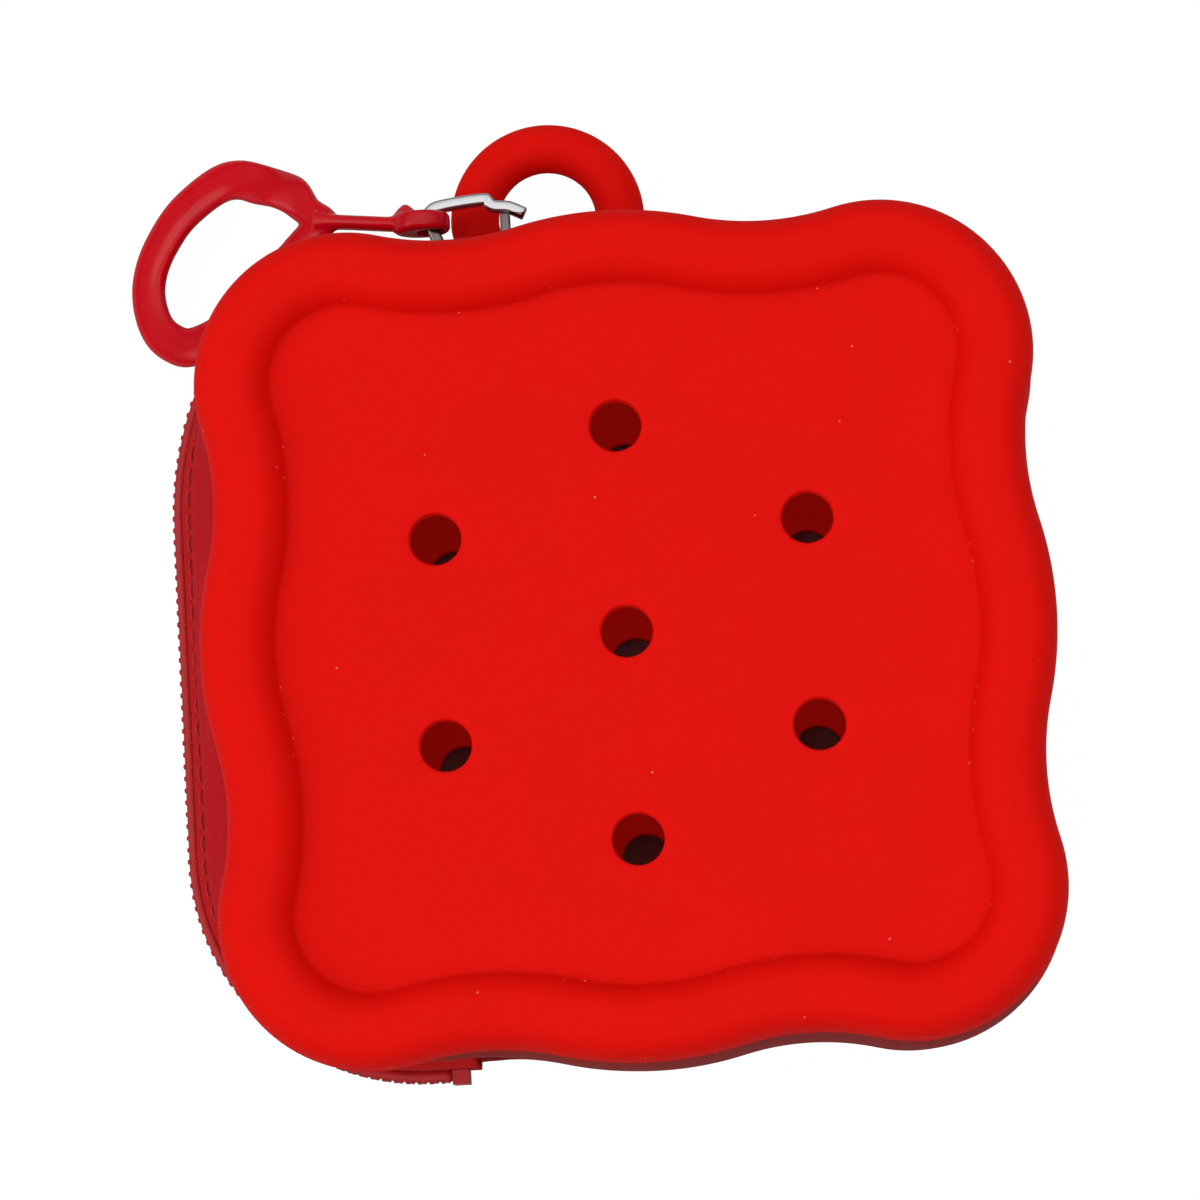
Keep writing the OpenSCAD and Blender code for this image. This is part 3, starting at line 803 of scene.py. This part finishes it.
class PURSE_OT_ring(bpy.types.Operator):
    """Make the hang ring on the rear half"""
    bl_idname = "purse.ring"
    bl_label = "Hang ring"

    def execute(self, context):
        s = context.scene.purse_shell
        ring = outward(make_piece("moulded_ring", *skin(ring_points(s)),
                                  bpy.data.materials["matt_silicone"]))
        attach(ring, "shell")
        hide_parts("hang_ring")
        return {"FINISHED"}


# Zip tape

TAPE_TOP_IN, TAPE_LOW_IN = 35.5 * MM, 24.5 * MM
# Offsets outwards from the coil's back and heights over the middle, in millimetres
TAPE_FACE = [(0, 0.9), (0, 2.4), (0, 3.7), (-0.55, 4.35), (-1.5, 4.9), (-2.2, 5.3), (-4.3, 7.0)]


def tape_ring(z):
    """The tape's section, as outward offsets and heights over the middle, with the run across it."""
    face = smooth_line([(o * MM - z.coil_t, h * MM) for o, h in TAPE_FACE], 3)
    way = heading(face)
    back = face + np.stack([-way[:, 1], way[:, 0]], 1) * z.tape_t
    across = travelled(face)
    return np.vstack([face, back[::-1]]), np.concatenate([across, across[::-1]])


def path_rings(path, section, s, side):
    """A section of outward offsets and heights over the middle, set at every station of a path."""
    mid = s.depth / 2
    return [np.array([[x + o * nx, y + o * ny, mid + side * h] for o, h in section])
            for x, y, nx, ny in path]


def tape(name, s, z, material, side):
    """The front tape or the rear one, with its map in metres."""
    path = zip_path(s, z, TAPE_TOP_IN, TAPE_LOW_IN)
    ring, across = tape_ring(z)
    rings = path_rings(path, ring, s, side)
    uv = [(a, c) for a in travelled(path[:, :2]) for c in across]
    return outward(make_piece(name, *skin(rings), material, uv=uv))


class PURSE_OT_tape(bpy.types.Operator):
    """Make the two tapes of the zip"""
    bl_idname = "purse.tape"
    bl_label = "Zip tapes"

    def execute(self, context):
        s, z = context.scene.purse_shell, context.scene.purse_zip
        material = woven_tape(z)
        rear = tape("tape_rear", s, z, material, -1)
        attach(rear, "shell")
        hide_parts("rear_tape")
        front = tape("tape_front", s, z, material, 1)
        across_fold(front)
        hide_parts("front_tape", "front_tape_ends")
        return {"FINISHED"}


# Repeats along a path

THREAD_SIDES = 6


def tube(line, radius):
    """A round tube with flat ends along a line of points in a plane across the zip."""
    line = np.array(line, float)
    a = np.array([1.0, 0, 0])
    rings = []
    for p, t in zip(line, heading(line)):
        b = np.cross(t, a)
        rings.append(np.array([p + radius * (math.cos(k) * a + math.sin(k) * b)
                               for k in full_turn(THREAD_SIDES)]))
    return skin(rings)


REPEAT_INPUTS = {"Geometry": "Geometry", "Template": "Object", "Step": "Float", "Unevenness": "Float",
                 "Seed": "Int", "Material": "Material"}


def repeat_tree(name):
    """Geometry nodes that set a template along a curve at even steps, turned to follow it in the plane."""
    tree = bpy.data.node_groups.new(name, "GeometryNodeTree")
    for label, kind in REPEAT_INPUTS.items():
        tree.interface.new_socket(name=label, in_out="INPUT", socket_type="NodeSocket" + kind)
    tree.interface.new_socket(name="Geometry", in_out="OUTPUT", socket_type="NodeSocketGeometry")
    p = Paints(name, tree)
    given = p.node("NodeGroupInput")
    spread = given.out("Unevenness")
    evenly = p.node("GeometryNodeResampleCurve", {"mode": "LENGTH"},
                    {"Curve": given.out("Geometry"), "Length": given.out("Step")})
    shape = p.node("GeometryNodeObjectInfo", {}, {"Object": given.out("Template")})
    turned = p.node("FunctionNodeAlignRotationToVector", {"axis": "X", "pivot_axis": "Z"},
                    {"Vector": p.node("GeometryNodeInputTangent").out(0)})
    chance = p.node("FunctionNodeRandomValue", {"data_type": "FLOAT_VECTOR"},
                    {"Seed": given.out("Seed"), "Min": spread * -1, "Max": spread})
    size = p.node("ShaderNodeVectorMath", {"operation": "ADD"}, {0: chance.out("Value"), 1: (1, 1, 1)})
    copies = p.node("GeometryNodeInstanceOnPoints", {}, {
        "Points": evenly.out(0), "Instance": shape.out("Geometry"),
        "Rotation": turned.out(0), "Scale": size.out(0),
    })
    real = p.node("GeometryNodeRealizeInstances", {}, {0: copies.out(0)})
    painted = p.node("GeometryNodeSetMaterial", {},
                     {"Geometry": real.out(0), "Material": given.out("Material")})
    p.node("NodeGroupOutput", {}, {0: painted.out(0)})
    return tree


def along_path(name, path, template, step, material, unevenness, seed):
    """Copies of a template at even steps along a path, as one plain mesh."""
    curve = bpy.data.curves.new(name + "_line", "CURVE")
    curve.dimensions = "3D"
    spline = curve.splines.new("POLY")
    spline.points.add(len(path) - 1)
    for point, place in zip(spline.points, path):
        point.co = (*place, 1)
    carrier = new_object(name + "_line", curve)
    tree = bpy.data.node_groups.get("repeat_along") or repeat_tree("repeat_along")
    modifier = carrier.modifiers.new("Repeat", "NODES")
    modifier.node_group = tree
    values = {"Template": template, "Step": step, "Unevenness": unevenness, "Seed": seed,
              "Material": material}
    for item in tree.interface.items_tree:
        if item.in_out == "INPUT" and item.name in values:
            modifier[item.identifier] = values[item.name]
    done = plain_copy(carrier, name)
    done.data.shade_smooth()
    bpy.data.objects.remove(template)
    return done


# Coil

CHAIN_TOP_IN, CHAIN_LOW_IN = 29.4 * MM, 21.8 * MM
FIRST_TOOTH, WIRE_R = 0.45 * MM, 0.29 * MM
# Both as offsets outwards from the chain's face and heights over the middle, in millimetres
TOOTH_LINE = [(-0.34, 2.05), (-0.27, 1.2), (-0.27, 0.3), (-0.33, -0.12), (-0.62, -0.28), (-0.94, -0.12),
              (-0.98, 0.3), (-0.98, 1.2), (-0.95, 2.05)]
CORE = [(-1.28, 1.55), (-1.28, 2.08), (-0.32, 2.08), (-0.24, 1.95), (-0.32, 1.55)]


def tooth(side):
    """One turn of the coil: two legs and a head. Y points inwards from the chain's face."""
    line = [(0, -o * MM, side * h * MM) for o, h in smooth_line(TOOTH_LINE, 2)]
    return outward(make_piece("tooth", *tube(line, WIRE_R), bpy.data.materials["coil_nylon"]))


def coil(name, s, z, side, seed):
    """One row of teeth on its core; the rear row starts half a pitch later."""
    material = bpy.data.materials["coil_nylon"]
    first = FIRST_TOOTH + (z.pitch / 2 if side < 0 else 0)
    stations = zip_path(s, z, CHAIN_TOP_IN - first, CHAIN_LOW_IN - first)
    path = [(x, y, s.depth / 2) for x, y, _, _ in stations]
    teeth = along_path(name, path, tooth(side), z.pitch, material, 0.02, seed)
    section = [(o * MM, h * MM) for o, h in CORE]
    rings = path_rings(zip_path(s, z, CHAIN_TOP_IN, CHAIN_LOW_IN), section, s, side)
    return join([teeth, outward(make_piece(name + "_core", *skin(rings), material))], name)


class PURSE_OT_coil(bpy.types.Operator):
    """Make the two rows of the coil"""
    bl_idname = "purse.coil"
    bl_label = "Coil"

    def execute(self, context):
        s, z, stage = context.scene.purse_shell, context.scene.purse_zip, context.scene.purse_stage
        nylon("coil_nylon", z.coil_colour)
        rear = coil("coil_rear", s, z, -1, stage.seed)
        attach(rear, "shell")
        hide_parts("rear_coil")
        front = coil("coil_front", s, z, 1, stage.seed + 1)
        across_fold(front)
        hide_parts("front_coil", "front_coil_ends")
        return {"FINISHED"}


# Stitches

STITCH_IN, STITCH_LEVEL, STITCH_R = 2.2 * MM, 6.35 * MM, 0.17 * MM
STITCH_TOP_IN, STITCH_LOW_IN = 33 * MM, 22 * MM
STITCH_REACH_SHARE = 0.36
# Share of the reach and depth in the lip, in millimetres
STITCH_LINE = [(-1, 0.25), (-0.9, 0.02), (0, -0.1), (0.9, 0.02), (1, 0.25)]


def stitch(step):
    """One stitch of thread: it comes up, lies along the lip and goes down again."""
    reach = step * STITCH_REACH_SHARE
    rings = []
    for x, y in smooth_line([(reach * share, depth * MM) for share, depth in STITCH_LINE], 3):
        rings.append(np.array([[x, y + STITCH_R * math.cos(k), STITCH_R * math.sin(k)]
                               for k in full_turn(THREAD_SIDES)]))
    return outward(make_piece("stitch", *skin(rings), bpy.data.materials["thread"]))


def stitches(name, s, z, side, seed):
    stations = zip_path(s, z, STITCH_TOP_IN, STITCH_LOW_IN)
    level = s.depth / 2 + side * STITCH_LEVEL
    path = [(x - STITCH_IN * nx, y - STITCH_IN * ny, level) for x, y, nx, ny in stations]
    return along_path(name, path, stitch(z.stitch_pitch), z.stitch_pitch, bpy.data.materials["thread"],
                      0.05, seed)


class PURSE_OT_stitches(bpy.types.Operator):
    """Make the stitches that hold the tapes to the lips"""
    bl_idname = "purse.stitches"
    bl_label = "Stitches"

    def execute(self, context):
        s, z, stage = context.scene.purse_shell, context.scene.purse_zip, context.scene.purse_stage
        nylon("thread", scaled(z.tape_colour, 0.8), rough=0.6)
        rear = stitches("stitches_rear", s, z, -1, stage.seed + 2)
        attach(rear, "shell")
        front = stitches("stitches_front", s, z, 1, stage.seed + 3)
        across_fold(front)
        return {"FINISHED"}


# Slider

TAIL_IN, NOSE_IN, CROWN_IN = 22.6 * MM, 32.6 * MM, 23.7 * MM
TAIL_W, NOSE_W = 6.4 * MM, 4.6 * MM
PLATE_GAP, BACK_T, CHANNEL_HALF = 0.2 * MM, 0.8 * MM, 2.4 * MM
SLIDER_BEVEL = 0.22 * MM
CROWN_LEN = 9.8 * MM
CROWN_SHARES = [(0.12, -0.06), (0.07, 0.2), (0.03, 0.45), (0, 0.66), (0.03, 0.8), (0.11, 0.89), (0.35, 0.965),
                (0.59, 1), (0.63, 0.95), (0.655, 0.87), (0.71, 0.82), (0.85, 0.78), (1, 0.62)]
POST_SHARE, POST_H_SHARE = 0.8, 0.57
POST_HALF, POST_HALF_W, POST_SUNK, RAIL_SUNK = 0.5 * MM, 0.7 * MM, 0.3 * MM, 0.1 * MM
DIVIDER_START, DIVIDER_END = 2.8 * MM, 0.4 * MM
# Height over the chain's top up to which the slider is painted dark, as painted reflection and shade
DARK_REFLECTION_UP_TO = 4.2 * MM


def slider_outline(slider):
    run = NOSE_IN - TAIL_IN
    side = [(0, TAIL_W / 2), (run * 0.62, TAIL_W / 2), (run * 0.74, slider.width / 2),
            (run * 0.9, slider.width / 2), (run, NOSE_W / 2)]
    return side + [(x, -y) for x, y in reversed(side)]


def oblong(start, end):
    """Outline of the divider or the post, from one place along the zip to another."""
    return [(start, -POST_HALF_W), (end, -POST_HALF_W), (end, POST_HALF_W), (start, POST_HALF_W)]


def upright(name, outline, low, high, s, material):
    """A plate on the top side: an outline along the zip and across it, from one height to another."""
    mid, x0 = s.depth / 2, TAIL_IN - s.half_width
    rings = [np.array([[x0 + x, y, mid + w] for x, w in outline]) for y in (low, high)]
    piece = outward(make_piece(name, *skin(rings), material, smooth=False))
    bevel = piece.modifiers.new("Bevel", "BEVEL")
    bevel.width, bevel.segments, bevel.limit_method = SLIDER_BEVEL, 3, "ANGLE"
    done = plain_copy(piece, name)
    done.data.shade_smooth()
    return done


def rail(slider, side):
    """Outline of the side wall that runs along one edge of the plates."""
    half = slider_outline(slider)[:4]
    outer = [(x, side * w) for x, w in half]
    return outer + [(half[-1][0], side * CHANNEL_HALF), (0, side * CHANNEL_HALF)]


def crown(slider, s, plate_top):
    """The crown: a strip with rounded edges along its bent line."""
    x0 = CROWN_IN - s.half_width
    h = slider.crown_h - slider.crown_t / 2
    line = smooth_line([(x0 + CROWN_LEN * a, plate_top + h * b) for a, b in CROWN_SHARES], 5)
    section = rounded(20, slider.crown_w, slider.crown_t, 0.45, 0.6)
    rings = []
    for p, t in zip(line, heading(line)):
        rings.append(np.array([[p[0] - t[1] * thick, p[1] + t[0] * thick, s.depth / 2 + across]
                               for across, thick in section]))
    return outward(make_piece("crown", *skin(rings), bpy.data.materials["bright_nickel"]))


class PURSE_OT_slider(bpy.types.Operator):
    """Make the slider and its crown"""
    bl_idname = "purse.slider"
    bl_label = "Slider"

    def execute(self, context):
        s, z = context.scene.purse_shell, context.scene.purse_zip
        slider = context.scene.purse_slider
        top = s.half_width + z.top_proud
        material = nickel(slider, top + DARK_REFLECTION_UP_TO)
        plate = top + PLATE_GAP
        plate_top = plate + slider.plate_t
        back = top - z.coil_t - z.tape_t - PLATE_GAP
        outline = slider_outline(slider)
        run = NOSE_IN - TAIL_IN
        post_x = CROWN_IN - TAIL_IN + CROWN_LEN * POST_SHARE
        rail_levels = top - z.coil_t + PLATE_GAP, plate + RAIL_SUNK
        parts = {
            "plate": (outline, plate, plate_top),
            "back_plate": (outline, back - BACK_T, back),
            "divider": (oblong(run - DIVIDER_START, run - DIVIDER_END), back - BACK_T, plate_top),
            "post": (oblong(post_x - POST_HALF, post_x + POST_HALF), plate_top - POST_SUNK,
                     plate_top + slider.crown_h * POST_H_SHARE),
            "rail_a": (rail(slider, 1), *rail_levels),
            "rail_b": (rail(slider, -1), *rail_levels),
        }
        body = join([upright(name, *part, s, material) for name, part in parts.items()], "slider_plates")
        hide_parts("slider_body")
        arch = crown(slider, s, plate_top)
        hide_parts("slider_crown")
        for piece in (body, arch):
            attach(piece, "slider")
        plastic = bpy.data.materials["coil_nylon"]
        for name, finish in (("rear_top_stop", material), ("front_top_stop", material),
                             ("bottom_stop", plastic)):
            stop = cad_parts[name]
            stop.data.materials.clear()
            stop.data.materials.append(finish)
        return {"FINISHED"}


# Pull

EYE_IN, EYE_BORE_IN, EYE_R, EYE_BORE_R = 23 * MM, 24 * MM, 2.9 * MM, 1.4 * MM
EYE_T, EYE_LIFT, EYE_EDGE = 2 * MM, 1.4 * MM, 0.3 * MM
KNOB_IN = 21.4 * MM
# Radius and height in millimetres of each step of the knob, from inside the eye to its peak
KNOB = [(0.9, -1), (1.32, -0.25), (1.2, 0.15), (0.92, 0.5), (0.6, 0.82), (0.32, 1.06), (0.02, 1.15)]
NECK_W, NECK_T, NECK_START_IN, NECK_RUN_IN = 3 * MM, 1.7 * MM, 21 * MM, 1 * MM
NECK_END_IN, NECK_END_LIFT, NECK_END_DROP = 13 * MM, 3.7 * MM, 2.3 * MM
LOOP_SHARES = [(0, 0), (0.09, 0.06), (0.18, 0.147), (0.32, 0.205), (0.45, 0.25), (0.575, 0.24), (0.75, 0.158),
               (0.86, 0.06), (0.935, -0.05), (0.96, -0.17), (0.925, -0.3), (0.845, -0.38), (0.73, -0.415),
               (0.52, -0.36), (0.35, -0.24), (0.2, -0.135), (0.09, -0.045)]
REMESH = 0.16 * MM
# Place of the fold as a share of the loop, its spread and how far it turns the band
FOLD_AT, FOLD_SPREAD, FOLD_SWING = 0.14, 0.05, math.radians(34)


def flat_ring(c, wide, flat, w, t):
    """Ring of points of a flat band with round edges, whose width and thickness have their own directions."""
    return np.array([c + wide * a + flat * b for a, b in rounded(18, w, t, 0.7, 0.8)])


def pull_loop(pull, neck_end):
    """The loop: a flat band that droops, with a fold where it leaves the neck."""
    down = np.array([-math.cos(pull.droop), 0, -math.sin(pull.droop)])
    face = np.array([-math.sin(pull.droop), 0, math.cos(pull.droop)])
    across = np.array([0, 1.0, 0])
    line = smooth_line([neck_end + pull.loop * (a * down + b * across) for a, b in LOOP_SHARES], 8, True)
    n = len(line)
    way = unit(np.roll(line, -1, 0) - np.roll(line, 1, 0))
    rings = []
    for i in range(n):
        t = i / n
        fold = math.exp(-((t - FOLD_AT) / FOLD_SPREAD) ** 2)
        wide = np.cross(face, way[i])
        co, si = math.cos(fold * FOLD_SWING), math.sin(fold * FOLD_SWING)
        from_neck = min(t, 1 - t)
        w = pull.band_w * (1.05 - 0.38 * math.exp(-(from_neck / 0.09) ** 2) + 0.1 * fold)
        rings.append(flat_ring(line[i], wide * co + face * si, face * co - wide * si, w, pull.band_t))
    return skin(rings, closed=True)


def pull_neck(s, eye_y, neck_end):
    """The neck from the eye to the loop, thicker towards the loop."""
    start = np.array([NECK_START_IN - s.half_width, eye_y, s.depth / 2])
    end = neck_end + NECK_RUN_IN * unit(neck_end - start)
    line = smooth_line([start, (start + neck_end) / 2, neck_end, end], 10)
    rings = []
    for i, (p, t) in enumerate(zip(line, heading(line))):
        up = unit(np.cross(t, [0, 1.0, 0]))
        k = ease((i / len(line) - 0.45) / 0.5)
        rings.append(flat_ring(p, up, np.cross(up, t), NECK_W, NECK_T * (0.85 + 0.5 * k)))
    return skin(rings)


def level_circle(s, place_in, r, y, n):
    """Circle round an axis that stands on the zip's middle line, at a given y."""
    x0, mid = place_in - s.half_width, s.depth / 2
    return np.array([[x0 + r * math.cos(a), y, mid + r * math.sin(a)] for a in full_turn(n)])


def pull_eye(s, low):
    """A round slab with an off-centre bore."""
    steps = [
        (EYE_IN, EYE_R - EYE_EDGE, 0), (EYE_IN, EYE_R, EYE_EDGE), (EYE_IN, EYE_R, EYE_T - EYE_EDGE),
        (EYE_IN, EYE_R - EYE_EDGE, EYE_T), (EYE_BORE_IN, EYE_BORE_R, EYE_T), (EYE_BORE_IN, EYE_BORE_R, 0),
    ]
    return skin([level_circle(s, c, r, low + level, 64) for c, r, level in steps], closed=True)


def pull_knob(s, y):
    """The pointed knob on the eye's edge."""
    return skin([level_circle(s, KNOB_IN, r, y + h, 24) for r, h in smooth_line(KNOB, 4) * MM])


class PURSE_OT_pull(bpy.types.Operator):
    """Make the soft pull"""
    bl_idname = "purse.pull"
    bl_label = "Pull"

    def execute(self, context):
        s, z = context.scene.purse_shell, context.scene.purse_zip
        slider, pull = context.scene.purse_slider, context.scene.purse_pull
        material = soft_plastic(pull)
        plate_top = s.half_width + z.top_proud + PLATE_GAP + slider.plate_t
        low = plate_top + EYE_LIFT
        neck_end = np.array([NECK_END_IN - s.half_width, plate_top + NECK_END_LIFT,
                             s.depth / 2 - NECK_END_DROP])
        parts = [pull_eye(s, low), pull_neck(s, low + EYE_T / 2, neck_end), pull_loop(pull, neck_end),
                 pull_knob(s, low + EYE_T)]
        piece = join([outward(make_piece("part", *part, material)) for part in parts], "soft_pull")
        remesh = piece.modifiers.new("Remesh", "REMESH")
        remesh.mode, remesh.voxel_size = "VOXEL", REMESH
        even = piece.modifiers.new("Smooth", "SMOOTH")
        even.factor, even.iterations = 0.5, 18
        piece = plain_copy(piece, "soft_pull")
        piece.data.materials.clear()
        piece.data.materials.append(material)
        piece.data.shade_smooth()
        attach(piece, "pull")
        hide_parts("pull_strap")
        return {"FINISHED"}


# Stage

CAMERA_AXES = ((0.9977038, -0.0547387, -0.0398861), (0.0592372, 0.990753, 0.1220634),
               (0.0328356, -0.1241459, 0.9917205))
CAMERA_PLACE = (-2.6179 * MM, 3.0303 * MM, 489.2176 * MM)
CAMERA_LENS = 150
FLOOR_HALF = 1.5
FOOTPRINT = 37 * MM
LAMP_PLACE, LAMP_SIZE = (-0.6, -0.12, 0.45), 0.5
WHITE, GREY = (1, 1, 1, 1), (0.5, 0.5, 0.5, 1)


def floor_material(stage):
    """White floor that keeps soft shadows, dark where the purse lies on it."""
    p = Paints("pale_floor")
    x, y, _ = p.split(p.place())
    seen = p.node("ShaderNodeLightPath").out("Is Camera Ray")
    share = (abs(x).larger(abs(y)) > FOOTPRINT) * seen * stage.floor_share
    lit = p.node("ShaderNodeBsdfDiffuse", {}, {"Color": GREY})
    own = p.node("ShaderNodeEmission", {}, {"Color": WHITE, "Strength": 1.08})
    both = p.node("ShaderNodeMixShader", {}, {0: share, 1: lit.out(0), 2: own.out(0)})
    p.node("ShaderNodeOutputMaterial", {}, {"Surface": both.out(0)})
    return p.material


def sky(stage):
    """Soft light from above that fades towards the horizon; the camera sees white."""
    world = bpy.data.worlds.new("studio")
    bpy.context.scene.world = world
    world.use_nodes = True
    p = Paints("studio", world.node_tree)
    up = p.split(p.node("ShaderNodeTexCoord").out("Generated"))[2]
    height = p.node("ShaderNodeMapRange", {}, {"Value": up}).out(0)
    seen = p.node("ShaderNodeLightPath").out("Is Camera Ray")
    strength = seen + (1 - seen) * (height ** 1.5 * stage.sky + 0.05)
    light = p.node("ShaderNodeBackground", {}, {"Color": WHITE, "Strength": strength})
    p.node("ShaderNodeOutputWorld", {}, {"Surface": light.out(0)})


def lamp(name, place, size, power, target):
    data = bpy.data.lights.new(name, "AREA")
    data.energy, data.size = power, size
    made = new_object(name, data)
    made.location = place
    made.rotation_mode = "QUATERNION"
    made.rotation_quaternion = (Vector(target) - Vector(place)).to_track_quat("-Z", "Y")


class PURSE_OT_stage(bpy.types.Operator):
    """Make the floor, the light and the camera"""
    bl_idname = "purse.stage"
    bl_label = "Stage"

    def execute(self, context):
        s, stage = context.scene.purse_shell, context.scene.purse_stage
        table = -s.rim_rise
        h = FLOOR_HALF
        floor = make_piece("floor", [(-h, -h, table), (h, -h, table), (h, h, table), (-h, h, table)],
                           [(0, 1, 2, 3)], floor_material(stage), smooth=False)
        sky(stage)
        lamp("window", LAMP_PLACE, LAMP_SIZE, stage.lamp, (0, 0, s.depth))
        camera = new_object("camera", bpy.data.cameras.new("camera"))
        axes = Matrix(CAMERA_AXES).transposed()
        place = axes @ Vector(CAMERA_PLACE) + Vector((0, 0, s.depth))
        camera.matrix_world = Matrix.Translation(place) @ axes.to_4x4()
        camera.data.lens, camera.data.sensor_width = CAMERA_LENS, 36
        camera.data.clip_start, camera.data.clip_end = 0.01, 10
        context.scene.camera = camera
        context.scene.view_settings.view_transform = "Standard"
        return {"FINISHED"}


class PURSE_PT_panel(bpy.types.Panel):
    """Lists the purse's operators"""
    bl_label = "Purse"
    bl_idname = "PURSE_PT_panel"
    bl_space_type = "VIEW_3D"
    bl_region_type = "UI"
    bl_category = "Purse"

    def draw(self, context):
        for operator in OPERATORS:
            self.layout.operator(operator.bl_idname)


OPERATORS = (PURSE_OT_stage, PURSE_OT_shell, PURSE_OT_ring, PURSE_OT_tape, PURSE_OT_coil, PURSE_OT_stitches,
             PURSE_OT_slider, PURSE_OT_pull)
GROUPS = {"purse_shell": PurseShell, "purse_zip": PurseZip, "purse_slider": PurseSlider,
          "purse_pull": PursePull, "purse_stage": PurseStage}


def register():
    for name, group in GROUPS.items():
        bpy.utils.register_class(group)
        setattr(bpy.types.Scene, name, PointerProperty(type=group))
    for made in (*OPERATORS, PURSE_PT_panel):
        bpy.utils.register_class(made)


def unregister():
    for made in reversed((*OPERATORS, PURSE_PT_panel)):
        bpy.utils.unregister_class(made)
    for name, group in GROUPS.items():
        delattr(bpy.types.Scene, name)
        bpy.utils.unregister_class(group)


def main():
    register()
    for operator in OPERATORS:
        group, name = operator.bl_idname.split(".")
        getattr(getattr(bpy.ops, group), name)()


if __name__ == "__main__":
    main()
